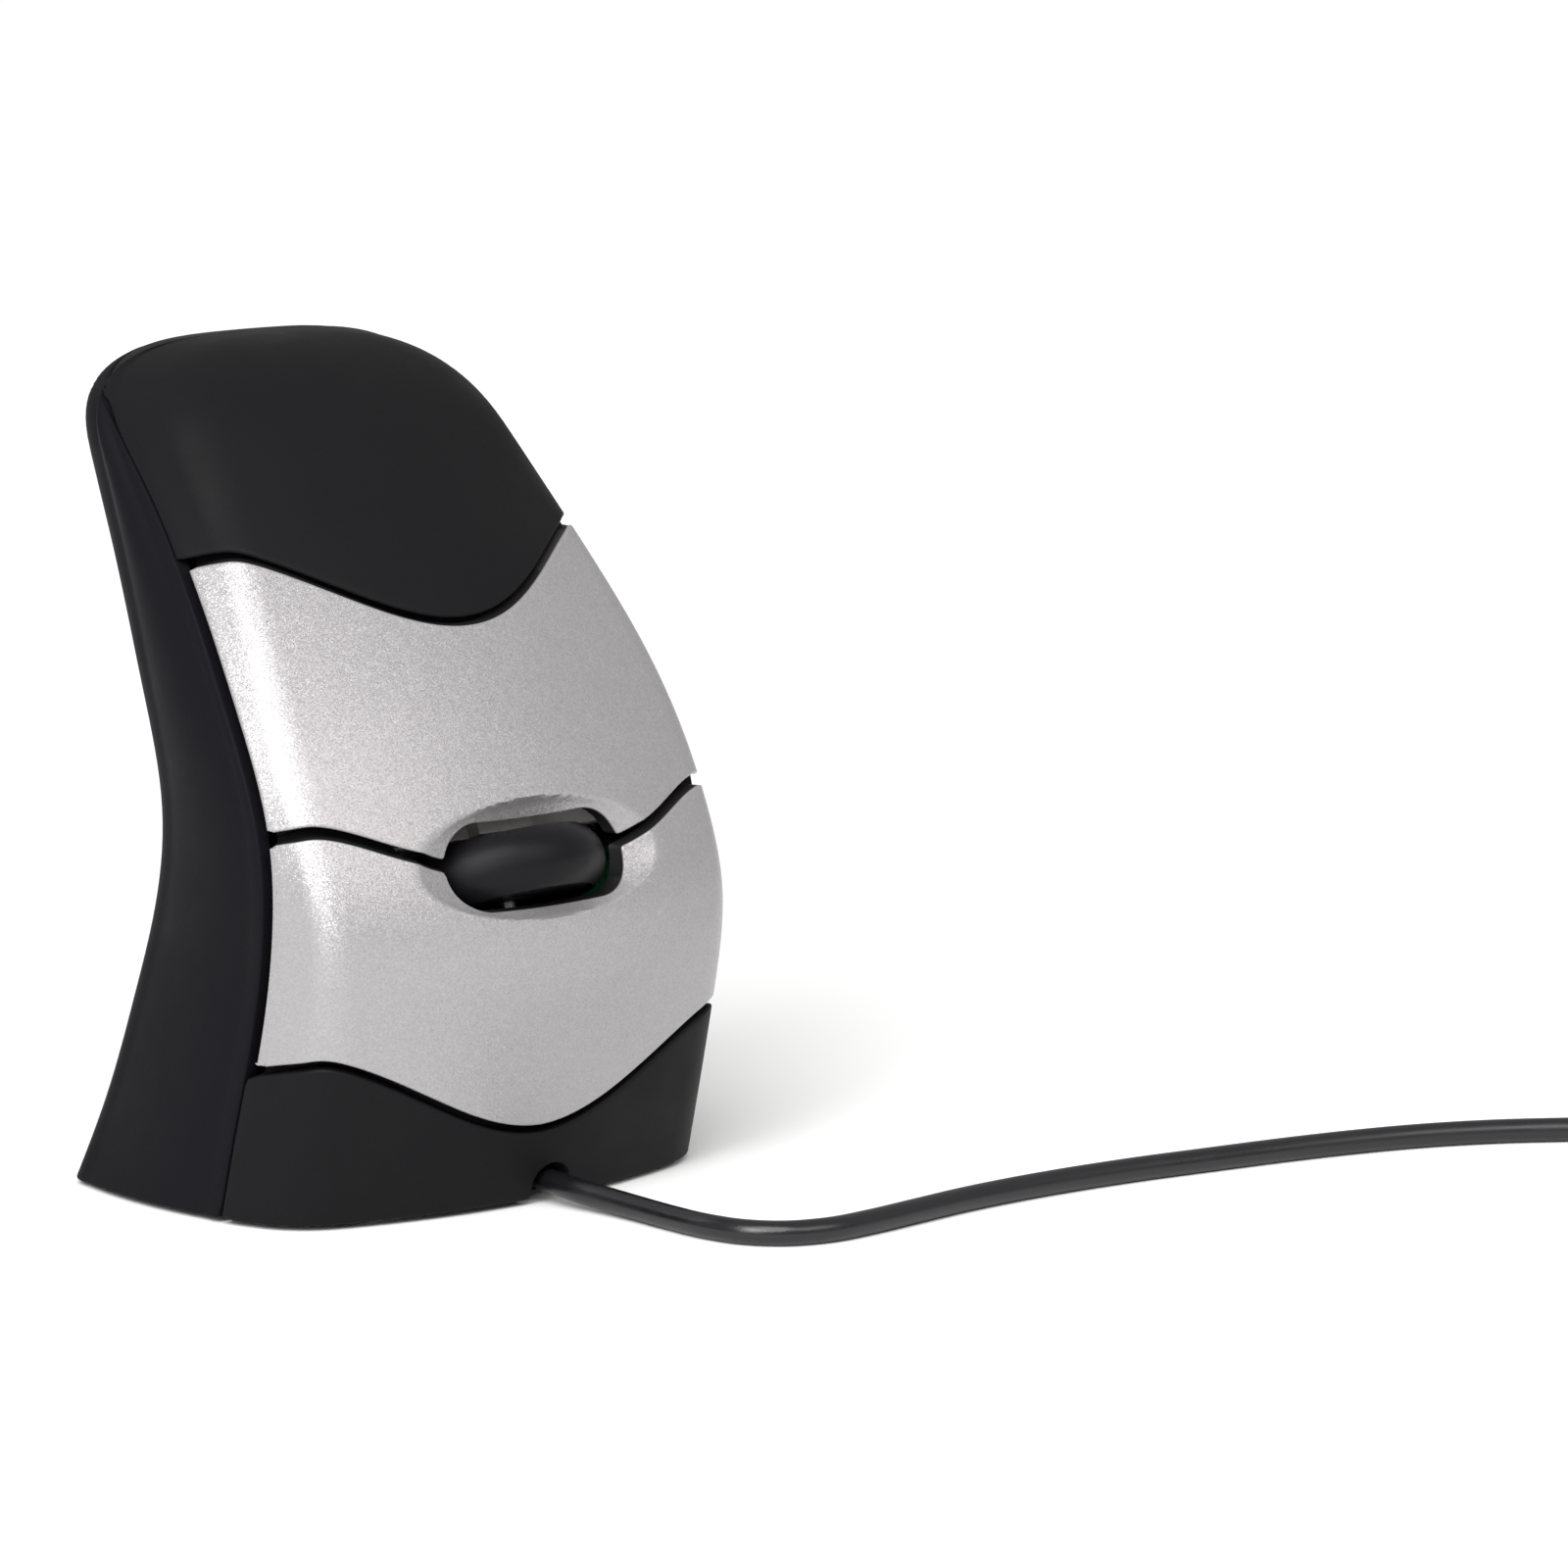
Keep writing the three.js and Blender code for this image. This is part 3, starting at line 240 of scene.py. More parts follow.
def half_outline(q, z, inset):
    """Points of half the level outline: q runs from 0 at the front middle to 7 at the back middle."""
    q, z, inset = np.broadcast_arrays(np.asarray(q, float), z, inset)
    outer_ridge = pair(RIDGE_X(z), RIDGE_Y(z))
    outer_seam = pair(SEAM_X(z), SEAM_Y(z))
    outer_heel = pair(HEEL_X(z), HEEL_Y(z))
    crown, bulge = CROWN(z), BULGE(z)
    front_end = pair(outer_ridge[..., 0], 2 * crown)
    strip = outer_seam - outer_ridge
    side = outer_heel - outer_seam
    back_start = pair(-outer_heel[..., 0], 2 * bulge)
    ridge = inset_corner(outer_ridge, front_end, strip, inset)
    seam = inset_corner(outer_seam, strip, side, inset)
    heel = inset_corner(outer_heel, side, back_start, inset)
    front_middle = outer_ridge[..., 1] - crown + inset
    back_middle = outer_heel[..., 1] + bulge - inset

    def front_at(x):
        return front_middle + (ridge[..., 1] - front_middle) * (x / ridge[..., 0])**2

    def back_at(x):
        return back_middle + (heel[..., 1] - back_middle) * (x / heel[..., 0])**2

    strip_way, side_way = unit(seam - ridge), unit(heel - seam)
    start_x = ridge[..., 0] - RIDGE_SETBACK(z)
    end_x = heel[..., 0] - HEEL_SETBACK(z)
    before_ridge = pair(start_x, front_at(start_x))
    slope = 2 * (ridge[..., 1] - front_middle) * start_x / ridge[..., 0]**2
    across = ridge - before_ridge
    reach = (across[..., 0] * strip_way[..., 1] - across[..., 1] * strip_way[..., 0]) / (
        strip_way[..., 1] - slope * strip_way[..., 0])
    ridge_tip = pair(start_x + reach, before_ridge[..., 1] + slope * reach)
    after_ridge = ridge_tip + strip_way * RIDGE_SETBACK(z)[..., None]
    setback = np.minimum(2.6, np.linalg.norm(seam - after_ridge, axis=-1) / 2)[..., None]
    before_seam, after_seam = seam - strip_way * setback, seam + side_way * setback
    before_heel = heel - side_way * HEEL_SETBACK(z)[..., None]
    after_heel = pair(end_x, back_at(end_x))

    part = np.clip(np.floor(q), 0, 6)
    t = (q - part)[..., None]
    front_x, back_x = start_x * t[..., 0], end_x * (1 - t[..., 0])
    pieces = [
        pair(front_x, front_at(front_x)),
        bezier(before_ridge, ridge_tip, after_ridge, t),
        after_ridge + (before_seam - after_ridge) * t,
        bezier(before_seam, seam, after_seam, t),
        after_seam + (before_heel - after_seam) * t - inward(side_way) * 4 * SIDE_BOW * t * (1 - t),
        bezier(before_heel, heel, after_heel, t),
        pair(back_x, back_at(back_x)),
    ]
    return np.select([part[..., None] == i for i in range(7)], pieces)


def skin(q, v, inset=0.0):
    """Points of the body: q goes round it, +-7 at the back middle, and v is the outer height."""
    q, v, inset = np.broadcast_arrays(np.asarray(q, float), np.asarray(v, float), inset)
    rise = np.clip((v - DOME_START) / (BODY_TOP - DOME_START), 0, 1)
    z = np.where(v > DOME_START, DOME_START + rise * (BODY_TOP - inset - DOME_START), v)
    level = np.clip(z, 0, None)
    shrink = (1 - rise**DOME_POWER)**(1 / DOME_POWER)
    flat = half_outline(np.abs(q), level, inset)
    front = RIDGE_Y(level) - CROWN(level)
    back = HEEL_Y(level) + BULGE(level)
    middle = front * (1 - CREST_SHARE) + back * CREST_SHARE
    y = middle + (flat[..., 1] - middle) * shrink + DEPTH_SHIFT
    return np.stack([np.sign(q) * flat[..., 0] * shrink, y, z], -1)


TABLE_V = np.concatenate([
    np.linspace(-1, DOME_START, 240),
    DOME_START + (BODY_TOP - DOME_START) * np.sin(np.linspace(0.01, math.pi / 2, 160))**(2 / DOME_POWER)])


def parting_table(shift):
    """Where round the outline the shells part, for every height, as a table over TABLE_V."""
    low, high = np.full_like(TABLE_V, 2.0), np.full_like(TABLE_V, 7.0)
    for _ in range(40):
        middle = (low + high) / 2
        point = skin(middle, TABLE_V)
        lean = PARTING_LEAN * np.clip(point[:, 2] - PARTING_TURN, 0, None)**2
        behind = point[:, 1] - DEPTH_SHIFT > SEAM_Y(point[:, 2]) + lean + shift
        high = np.where(behind, middle, high)
        low = np.where(behind, low, middle)
    return (low + high) / 2


PARTING = {
    "button": parting_table(-SIDE_GAP - SHELL_GAP / 2),
    "front": parting_table(-SHELL_GAP / 2),
    "rear": parting_table(SHELL_GAP / 2),
}


def parting(kind, v):
    return np.interp(v, TABLE_V, PARTING[kind])


def column_q(s, v, kind):
    """The place round the outline of column s, which keeps to the ridge and ends at the parting."""
    size = np.abs(s)
    return np.sign(s) * np.where(size <= 2, size, 2 + (parting(kind, v) - 2) * (size - 2))


def seam_height(seam, x):
    size = np.abs(x)
    out = size / seam["ridge_x"]
    swing = (1 - np.cos(math.pi * np.clip(out, 0, 1))) / 2
    lift = (1 - seam["sweep"]) * out**seam["curl"] + seam["sweep"] * swing**seam["power"]
    past = (size - seam["ridge_x"]) / (seam["groove_x"] - seam["ridge_x"])
    rising = seam["middle"] + (seam["ridge"] - seam["middle"]) * lift
    falling = seam["ridge"] - (seam["ridge"] - seam["groove"]) * past
    return (rising + falling - np.hypot(rising - falling, SEAM_TURN)) / 2


def seam_level(seam, shift, s, kind):
    """Heights at which the columns s cross a seam, moved up or down by shift."""
    v = np.full(np.shape(s), float(seam["middle"]))
    for _ in range(40):
        x = skin(column_q(s, v, kind), v)[..., 0]
        v = (v + seam_height(seam, x) + shift) / 2
    return v


def to_face(points):
    """Points in the wheel's own frame: x across, y straight in, z up the face."""
    y, z = points[..., 1] - FACE_ORIGIN[1], points[..., 2] - FACE_ORIGIN[2]
    c, s = math.cos(FACE_LEAN), math.sin(FACE_LEAN)
    return np.stack([points[..., 0], y * c - z * s, y * s + z * c], -1)


def from_face(points):
    c, s = math.cos(FACE_LEAN), math.sin(FACE_LEAN)
    y, z = points[..., 1], points[..., 2]
    return np.stack([points[..., 0], FACE_ORIGIN[1] + y * c + z * s, FACE_ORIGIN[2] - y * s + z * c], -1)


def dish(points, wall, blend):
    """Presses the wheel's dish into a skin, behind a wall of the given thickness."""
    local = to_face(points)
    radii = DISH + wall
    inside = 1 - (local[..., 0] / radii[0])**2 - (local[..., 2] / radii[2])**2
    bowl = np.where(inside > 0, radii[1] * np.sqrt(np.clip(inside, 0, None)), radii[1] * inside * 2)
    gap = bowl - local[..., 1]
    depth = (gap + np.sqrt(gap**2 + blend**2)) / 2 - blend**2 / (4 * (np.abs(gap) + blend))
    local = local.copy()
    local[..., 1] += np.where(inside > -0.9, np.clip(depth, 0, None) * np.clip((inside + 0.9) / 0.6, 0, 1), 0)
    return from_face(local)


# ---------------------------------------------------------------- mesh tools


def lone_object(name, points, faces, materials, marks=None, sharp=40, scale=0.001):
    """A mesh piece from points in millimetres, shaded smooth with its edges kept."""
    mesh = bpy.data.meshes.new(name)
    mesh.from_pydata([tuple(c * scale for c in point) for point in points], [], faces)
    for material in materials:
        mesh.materials.append(material)
    if marks is not None:
        mesh.polygons.foreach_set("material_index", marks)
    mesh.validate()
    mesh.shade_smooth()
    mesh.set_sharp_from_angle(angle=math.radians(sharp))
    piece = bpy.data.objects.new(name, mesh)
    bpy.context.collection.objects.link(piece)
    return piece


def grid_faces(rows, columns, closed=False):
    faces = []
    span = columns if closed else columns - 1
    for row in range(rows - 1):
        for column in range(span):
            after = (column + 1) % columns
            faces.append((row * columns + column, row * columns + after,
                          (row + 1) * columns + after, (row + 1) * columns + column))
    return faces


class Body:
    """Collects the points and faces of one piece made of several closed skins."""

    def __init__(self):
        self.points, self.faces, self.marks = [], [], []

    def add(self, points, faces, mark=0):
        start = len(self.points)
        self.points.extend(tuple(float(c) for c in point) for point in points)
        self.faces.extend(tuple(start + i for i in face) for face in faces)
        self.marks.extend([mark] * len(faces))

    def make(self, name, materials, sharp=40):
        return lone_object(name, self.points, self.faces, materials, self.marks, sharp)


def rolled_skin(body, outer, inner, radius, steps=4, rim_mark=0):
    """Adds a closed skin with rolled edges from a grid of outer points and a grid of inner ones.

    Points that fall on each other are made one, so a grid may close at a pole or a back line.
    """
    rows, columns, _ = outer.shape
    flat = outer.reshape(-1, 3)
    keys, index, first = {}, [], []
    for number, point in enumerate(np.round(flat, 3).tolist()):
        key = tuple(point)
        if key not in keys:
            keys[key] = len(first)
            first.append(number)
        index.append(keys[key])
    points = flat[first].copy()
    inside = inner.reshape(-1, 3)[first].copy()
    faces = []
    for face in grid_faces(rows, columns):
        loop = [index[i] for i in face]
        loop = [v for k, v in enumerate(loop) if v != loop[k - 1]]
        if len(set(loop)) > 2:
            faces.append(tuple(loop))
    sides = {}
    normal = np.zeros_like(points)
    for face in faces:
        corner = points[list(face)]
        turn = np.zeros(3)
        for k in range(1, len(face) - 1):
            turn += np.cross(corner[k] - corner[0], corner[k + 1] - corner[0])
        for k, v in enumerate(face):
            normal[v] += turn
            edge = (v, face[(k + 1) % len(face)])
            sides[edge] = sides.get(edge, 0) + 1
    normal = unit(normal)
    border = {a: b for a, b in sides if (b, a) not in sides}
    near = {}
    for a, b in sides:
        for one, other in ((a, b), (b, a)):
            if one in border and other not in border:
                near.setdefault(one, set()).add(other)
    start = len(body.points)
    count = len(points)
    total = [points, inside]
    new_faces = list(faces)
    marks = [0] * len(faces)
    for face in faces:
        new_faces.append(tuple(count + v for v in reversed(face)))
        marks.append(rim_mark)
    extra = 2 * count
    while border:
        loop = [next(iter(border))]
        while border.get(loop[-1]) is not None:
            after = border.pop(loop[-1])
            if after == loop[0]:
                break
            loop.append(after)
        ring = points[loop]
        along = unit(np.roll(ring, -1, 0) - np.roll(ring, 1, 0))
        out = normal[loop]
        into = unit(np.cross(out, along))
        turn_before = unit(ring - np.roll(ring, 1, 0))
        turn_after = unit(np.roll(ring, -1, 0) - ring)
        corner = (turn_before * turn_after).sum(-1) < 0.4
        room = [min([np.linalg.norm(points[v] - points[w]) for w in near.get(v, ())] or [1.0]) for v in loop]
        radius_here = np.minimum(radius, 0.7 * np.array(room))[:, None]
        pull = np.where(corner, 0.9, 0)[:, None] * radius_here * into
        layers = []
        for step in range(steps):
            angle = step / steps * math.pi / 2
            lift, draw = 1 - math.sin(angle), 1 - math.cos(angle)
            layers.append(ring + pull + (into * draw - out * lift) * radius_here)
        points[loop] = ring + pull + into * radius_here
        size = len(loop)
        places = [[extra + k * size + i for i in range(size)] for k in range(steps)]
        total.extend(layers)
        extra += steps * size
        chain = [[count + v for v in loop]] + places + [loop]
        for level, (low, high) in enumerate(zip(chain, chain[1:])):
            for i in range(size):
                j = (i + 1) % size
                new_faces.append((low[i], low[j], high[j], high[i]))
                marks.append(rim_mark if level == 0 else 0)
    total[0] = points
    stacked = np.concatenate(total)
    body.points.extend(tuple(p) for p in stacked.tolist())
    body.faces.extend(tuple(start + i for i in face) for face in new_faces)
    body.marks.extend(marks)


def ruled(lower, upper, shares):
    """Rows of (column, height) pairs from a lower border to an upper one."""
    share = np.asarray(shares)[:, None, None]
    return lower[None] * (1 - share) + upper[None] * share


def resample(line, count):
    length = np.concatenate([[0], np.cumsum(np.linalg.norm(np.diff(line, axis=0), axis=1))])
    places = np.linspace(0, length[-1], count)
    return np.stack([np.interp(places, length, line[:, axis]) for axis in range(2)], -1)


def eased(line, passes):
    line = line.copy()
    for _ in range(passes):
        line[1:-1] = (line[:-2] + 2 * line[1:-1] + line[2:]) / 4
    return line


def with_strips(middle, seam, shift, kind, count=12):
    """Carries a border of the middle of the face on over the ridges to the side grooves."""
    left = -np.linspace(3, 1, 2 * count + 1)[:-1]
    sides = [left, -left[::-1]]
    ends = [np.stack([s, seam_level(seam, shift, s, kind)], -1) for s in sides]
    return np.concatenate([ends[0], middle, ends[1]])


def slot_edge(side):
    """Half of the slot's outline as (x, height), from left to right, on the buttons' skin."""
    points = []
    for centre, start, end in ((-1, math.pi, math.pi / 2), (1, math.pi / 2, 0)):
        for angle in np.linspace(start, end, 60):
            x = centre * (SLOT_LENGTH / 2 - SLOT_END) + SLOT_END * math.cos(angle)
            points.append((x, side * SLOT_HEIGHT / 2 * math.sin(angle)))
    x, up = np.array(points).T
    v = np.full(len(x), FACE_ORIGIN[2]) + up
    for _ in range(60):
        q = x / (RIDGE_X(v) - RIDGE_SETBACK(v))
        y = skin(q, v)[:, 1] - FACE_ORIGIN[1]
        v = (v + FACE_ORIGIN[2] + (up - y * math.sin(FACE_LEAN)) / math.cos(FACE_LEAN)) / 2
    return np.stack([x, v], -1)


def notched_border(notch, base, above, count, passes):
    """The middle of a border: it follows base(x) and goes round a notch where that sticks out."""
    line_x = np.linspace(-30, 30, 1200)
    stick_out = (notch[:, 1] - base(notch[:, 0])) * above > 0
    kept = notch[stick_out]
    left = line_x[line_x < kept[0, 0] - 0.02]
    right = line_x[line_x > kept[-1, 0] + 0.02]
    line = np.concatenate([
        np.stack([left, base(left)], -1), kept, np.stack([right, base(right)], -1)])
    start = RIDGE_X(line[:, 1]) - RIDGE_SETBACK(line[:, 1])
    line = line[np.abs(line[:, 0]) <= start]
    line = eased(resample(line, count), passes)
    line[:, 0] /= RIDGE_X(line[:, 1]) - RIDGE_SETBACK(line[:, 1])
    line[0, 0], line[-1, 0] = -1, 1
    return line


def middle_seam_border(seam, shift, kind, count):
    s = np.linspace(-1, 1, count)
    return np.stack([s, seam_level(seam, shift, s, kind)], -1)


def skin_of(grid, kind, inset):
    return skin(column_q(grid[..., 0], grid[..., 1], kind), grid[..., 1], inset)


def bar_between(body, low, high, radius, mark=0, sides=24, centre=(0, 0), hole=0.0):
    """An upright post, with a hole down it if one is asked for."""
    angles = np.linspace(0, 2 * math.pi, sides, endpoint=False)
    outline = [(radius, low), (radius, high)]
    if hole:
        outline = [(hole, low), (radius, low), (radius, high), (hole, high), (hole, low)]
    else:
        outline = [(0.001, low), (radius, low), (radius, high), (0.001, high), (0.001, low)]
    points = [(centre[0] + r * math.cos(a), centre[1] + r * math.sin(a), z) for r, z in outline[:-1] for a in angles]
    faces = grid_faces(4, sides, closed=True)
    last = 3 * sides
    faces += [(last + i, last + (i + 1) % sides, (i + 1) % sides, i) for i in range(sides)]
    body.add(points, faces, mark)


def brick(body, low, high, bevel=0.2, mark=0, frame_of=None):
    """A block with its edges eased, in the body's frame or in the wheel's."""
    corners = []
    for z, share in ((low[2], 1), (low[2] + bevel, 0), (high[2] - bevel, 0), (high[2], 1)):
        shrink = bevel * share
        x0, x1 = low[0] + shrink, high[0] - shrink
        y0, y1 = low[1] + shrink, high[1] - shrink
        b = bevel
        corners.append([(x0 + b, y0, z), (x1 - b, y0, z), (x1, y0 + b, z), (x1, y1 - b, z),
                        (x1 - b, y1, z), (x0 + b, y1, z), (x0, y1 - b, z), (x0, y0 + b, z)])
    points = np.array(corners).reshape(-1, 3)
    if frame_of is not None:
        points = frame_of(points)
    faces = grid_faces(4, 8, closed=True)
    faces += [tuple(range(7, -1, -1)), tuple(range(24, 32))]
    body.add(points, faces, mark)


def turned_grid(profile, sides, place=Matrix.Identity(4)):
    """Points and faces of a ring turned about z from a closed profile of (radius, height)."""
    points = []
    for radius, height in profile:
        for side in range(sides):
            angle = 2 * math.pi * side / sides
            point = place @ Vector((radius * math.cos(angle), radius * math.sin(angle), height))
            points.append(tuple(point))
    faces = grid_faces(len(profile), sides, closed=True)
    last = (len(profile) - 1) * sides
    faces += [(last + i, last + (i + 1) % sides, (i + 1) % sides, i) for i in range(sides)]
    return points, faces


def rounded_profile(corners, radius, steps=4):
    """A closed profile with every corner rounded over by up to a radius."""
    result = []
    for k, corner in enumerate(corners):
        before, after = np.array(corners[k - 1], float), np.array(corners[(k + 1) % len(corners)], float)
        corner = np.array(corner, float)
        reach = min(radius, np.linalg.norm(before - corner) / 2.05, np.linalg.norm(after - corner) / 2.05)
        start, end = corner + unit(before - corner) * reach, corner + unit(after - corner) * reach
        for step in range(steps + 1):
            result.append(tuple(bezier(start, corner, end, step / steps)))
    return result


def ride(piece, body, *nodes, slot=None):
    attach(piece, body)
    if nodes:
        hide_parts(*nodes)
    return piece


# ---------------------------------------------------------------- shader tools


class Shader:
    """Adds nodes to a tree: an input that is a socket is linked, any other value is set."""

    def __init__(self, tree):
        self.tree = tree

    def node(self, kind, inputs=None, **settings):
        node = self.tree.nodes.new(kind)
        for name, value in settings.items():
            setattr(node, name, value)
        for name, value in (inputs or {}).items():
            self.fill(node.inputs[name], value)
        return node

    def fill(self, socket, value):
        if isinstance(value, bpy.types.NodeSocket):
            self.tree.links.new(value, socket)
        else:
            socket.default_value = value

    def math(self, operation, first, second=0.0, clamp=False):
        node = self.node("ShaderNodeMath", {0: first, 1: second}, operation=operation, use_clamp=clamp)
        return node.outputs[0]

    def mix(self, share, first, second, blend="MIX"):
        node = self.node("ShaderNodeMix", data_type="RGBA", blend_type=blend)
        for name, value in (("Factor_Float", share), ("A_Color", first), ("B_Color", second)):
            self.fill(next(i for i in node.inputs if i.identifier == name), value)
        return next(o for o in node.outputs if o.identifier == "Result_Color")

    def range(self, value, low, high, to_low=0.0, to_high=1.0, smooth=False):
        inputs = {"Value": value, "From Min": low, "From Max": high, "To Min": to_low, "To Max": to_high}
        kind = "SMOOTHSTEP" if smooth else "LINEAR"
        return self.node("ShaderNodeMapRange", inputs, interpolation_type=kind).outputs["Result"]

    def place(self, stretch=None):
        found = self.node("ShaderNodeTexCoord").outputs["Object"]
        if stretch:
            found = self.node("ShaderNodeMapping", {"Vector": found, "Scale": stretch}).outputs["Vector"]
        return found

    def noise(self, scale, detail=2.0, roughness=0.5, place=None):
        inputs = {"Vector": place or self.place(), "Scale": scale, "Detail": detail, "Roughness": roughness}
        return self.node("ShaderNodeTexNoise", inputs).outputs["Fac"]

    def group(self, name, **values):
        node = self.node("ShaderNodeGroup", node_tree=bpy.data.node_groups[name])
        for label, value in values.items():
            self.fill(node.inputs[label.replace("_", " ").title()], value)
        return node.outputs


def new_group(name, inputs, outputs):
    tree = bpy.data.node_groups.new(name, "ShaderNodeTree")
    for label, default in inputs:
        socket = tree.interface.new_socket(name=label, in_out="INPUT", socket_type="NodeSocketFloat")
        socket.default_value = default
    for label, kind in outputs:
        tree.interface.new_socket(name=label, in_out="OUTPUT", socket_type=kind)
    shader = Shader(tree)
    given = shader.node("NodeGroupInput").outputs
    result = shader.node("NodeGroupOutput").inputs
    return shader, given, result


def build_groups():
    """Effects that several finishes share."""
    s, given, result = new_group("Moulded Grain", [("Scale", 5000.0)], [("Height", "NodeSocketFloat")])
    fine = s.noise(given["Scale"], 3.0, 0.6)
    cells = s.node("ShaderNodeTexVoronoi", {"Vector": s.place(), "Scale": given["Scale"]}).outputs["Distance"]
    s.fill(result["Height"], s.math("ADD", s.math("MULTIPLY", fine, 0.6), s.math("MULTIPLY", cells, 0.4)))

    s, given, result = new_group(
        "Handling Polish", [("Scale", 60.0), ("Amount", 0.2)], [("Mask", "NodeSocketFloat")])
    broad = s.range(s.noise(given["Scale"], 4.0, 0.55), 0.42, 0.68, smooth=True)
    s.fill(result["Mask"], s.math("MULTIPLY", broad, given["Amount"]))

    s, given, result = new_group(
        "Edge Wear", [("Scale", 900.0), ("Amount", 0.3)], [("Mask", "NodeSocketFloat")])
    point = s.node("ShaderNodeNewGeometry").outputs["Pointiness"]
    broken = s.range(s.noise(given["Scale"], 3.0, 0.6), 0.35, 0.65)
    rubbed = s.math("MULTIPLY", s.range(point, 0.52, 0.60, smooth=True), broken)
    s.fill(result["Mask"], s.math("MULTIPLY", rubbed, given["Amount"]))

    s, given, result = new_group(
        "Settled Dust", [("Scale", 2500.0), ("Amount", 0.03)], [("Mask", "NodeSocketFloat")])
    up = s.node("ShaderNodeSeparateXYZ", {"Vector": s.node("ShaderNodeNewGeometry").outputs["Normal"]}).outputs["Z"]
    specks = s.range(s.noise(given["Scale"], 4.0, 0.7), 0.5, 0.75)
    settled = s.math("MULTIPLY", s.range(up, 0.1, 0.9, smooth=True), specks)
    s.fill(result["Mask"], s.math("MULTIPLY", settled, given["Amount"]))

    s, given, result = new_group(
        "Metal Flake", [("Scale", 7000.0), ("Tilt", 0.2)],
        [("Tone", "NodeSocketFloat"), ("Normal", "NodeSocketVector")])
    flake = s.node("ShaderNodeTexVoronoi", {"Vector": s.place(), "Scale": given["Scale"]}).outputs["Color"]
    centred = s.node("ShaderNodeVectorMath", {0: flake, 1: (0.5, 0.5, 0.5)}, operation="SUBTRACT").outputs[0]
    leaning = s.node(
        "ShaderNodeVectorMath", {0: centred, "Scale": given["Tilt"]}, operation="SCALE").outputs[0]
    surface = s.node("ShaderNodeNewGeometry").outputs["Normal"]
    total = s.node("ShaderNodeVectorMath", {0: surface, 1: leaning}, operation="ADD").outputs[0]
    s.fill(result["Normal"], s.node("ShaderNodeVectorMath", {0: total}, operation="NORMALIZE").outputs[0])
    s.fill(result["Tone"], s.node("ShaderNodeSeparateColor", {"Color": flake}).outputs["Green"])


def label_of(name):
    return name.replace("_", " ").title()


def start_material(name, **constants):
    material = bpy.data.materials.new(label_of(name))
    material.use_nodes = True
    shader = Shader(material.node_tree)
    principled = material.node_tree.nodes["Principled BSDF"]
    for label, value in constants.items():
        principled.inputs[label_of(label).replace("Ior", "IOR")].default_value = value
    return material, shader, principled.inputs


def lighter(tint, gain):
    return tuple(min(1.0, c * gain) for c in tint[:3]) + (1,)


def moulded(name, tint, roughness, grain=5000, bump=0.00002, polish=0.3, wear=0.3, dust=0.02, **constants):
    """A moulded or coated plastic: its grain, polish from handling, rubbed edges and a little dust."""
    material, s, principled = start_material(name, **constants)
    height = s.group("Moulded Grain", scale=grain)["Height"]
    handled = s.group("Handling Polish", scale=70.0, amount=polish)["Mask"]
    rubbed = s.group("Edge Wear", amount=wear)["Mask"]
    settled = s.group("Settled Dust", amount=dust)["Mask"]
    mottled = s.mix(height, lighter(tint, 0.88), lighter(tint, 1.12))
    worn = s.mix(rubbed, mottled, lighter(tint, 2.2))
    s.fill(principled["Base Color"], s.mix(settled, worn, (0.45, 0.44, 0.42, 1)))
    smoothed = s.math("SUBTRACT", roughness, s.math("MULTIPLY", handled, 0.3))
    dulled = s.math("ADD", smoothed, s.math("MULTIPLY", settled, 0.5))
    s.fill(principled["Roughness"], dulled)
    s.fill(principled["Normal"], s.node(
        "ShaderNodeBump", {"Height": height, "Strength": 1.0, "Distance": bump}).outputs["Normal"])
    return material


def silver_paint():
    """Paint with fine metal flake under a clear coat."""
    tint = colour("silver")
    material, s, principled = start_material(
        "silver_paint", metallic=0.55, coat_weight=0.25, coat_roughness=0.18, coat_ior=1.45)
    flake = s.group("Metal Flake", scale=9000.0, tilt=0.36)
    coarse = s.group("Metal Flake", scale=4200.0, tilt=0.2)
    handled = s.group("Handling Polish", scale=55.0, amount=0.35)["Mask"]
    tone = s.math("ADD", s.math("MULTIPLY", flake["Tone"], 0.6), s.math("MULTIPLY", coarse["Tone"], 0.4))
    s.fill(principled["Base Color"], s.mix(tone, lighter(tint, 0.86), lighter(tint, 1.15)))
    s.fill(principled["Roughness"], s.math(
        "ADD", s.math("MULTIPLY", tone, 0.12), s.range(handled, 0.0, 1.0, 0.37, 0.30)))
    peel = s.noise(1100.0, 2.0, 0.5)
    s.fill(principled["Normal"], s.node("ShaderNodeBump", {
        "Height": peel, "Strength": 0.5, "Distance": 0.00002, "Normal": flake["Normal"]}).outputs["Normal"])
    return material


def bright_metal(name, tint, roughness, stretch):
    """Plated steel with fine lines drawn along one way."""
    material, s, principled = start_material(name, metallic=1.0)
    lines = s.noise(1800.0, 3.0, 0.6, s.place(stretch))
    handled = s.group("Handling Polish", scale=120.0, amount=0.5)["Mask"]
    rubbed = s.group("Edge Wear", amount=0.4)["Mask"]
    s.fill(principled["Base Color"], s.mix(
        rubbed, s.mix(lines, lighter(tint, 0.85), lighter(tint, 1.1)), lighter(tint, 1.25)))
    s.fill(principled["Roughness"], s.math("ADD", s.math("MULTIPLY", lines, 0.15), s.range(
        handled, 0.0, 1.0, roughness, roughness * 0.7)))
    s.fill(principled["Normal"], s.node(
        "ShaderNodeBump", {"Height": lines, "Strength": 0.6, "Distance": 0.00001}).outputs["Normal"])
    return material


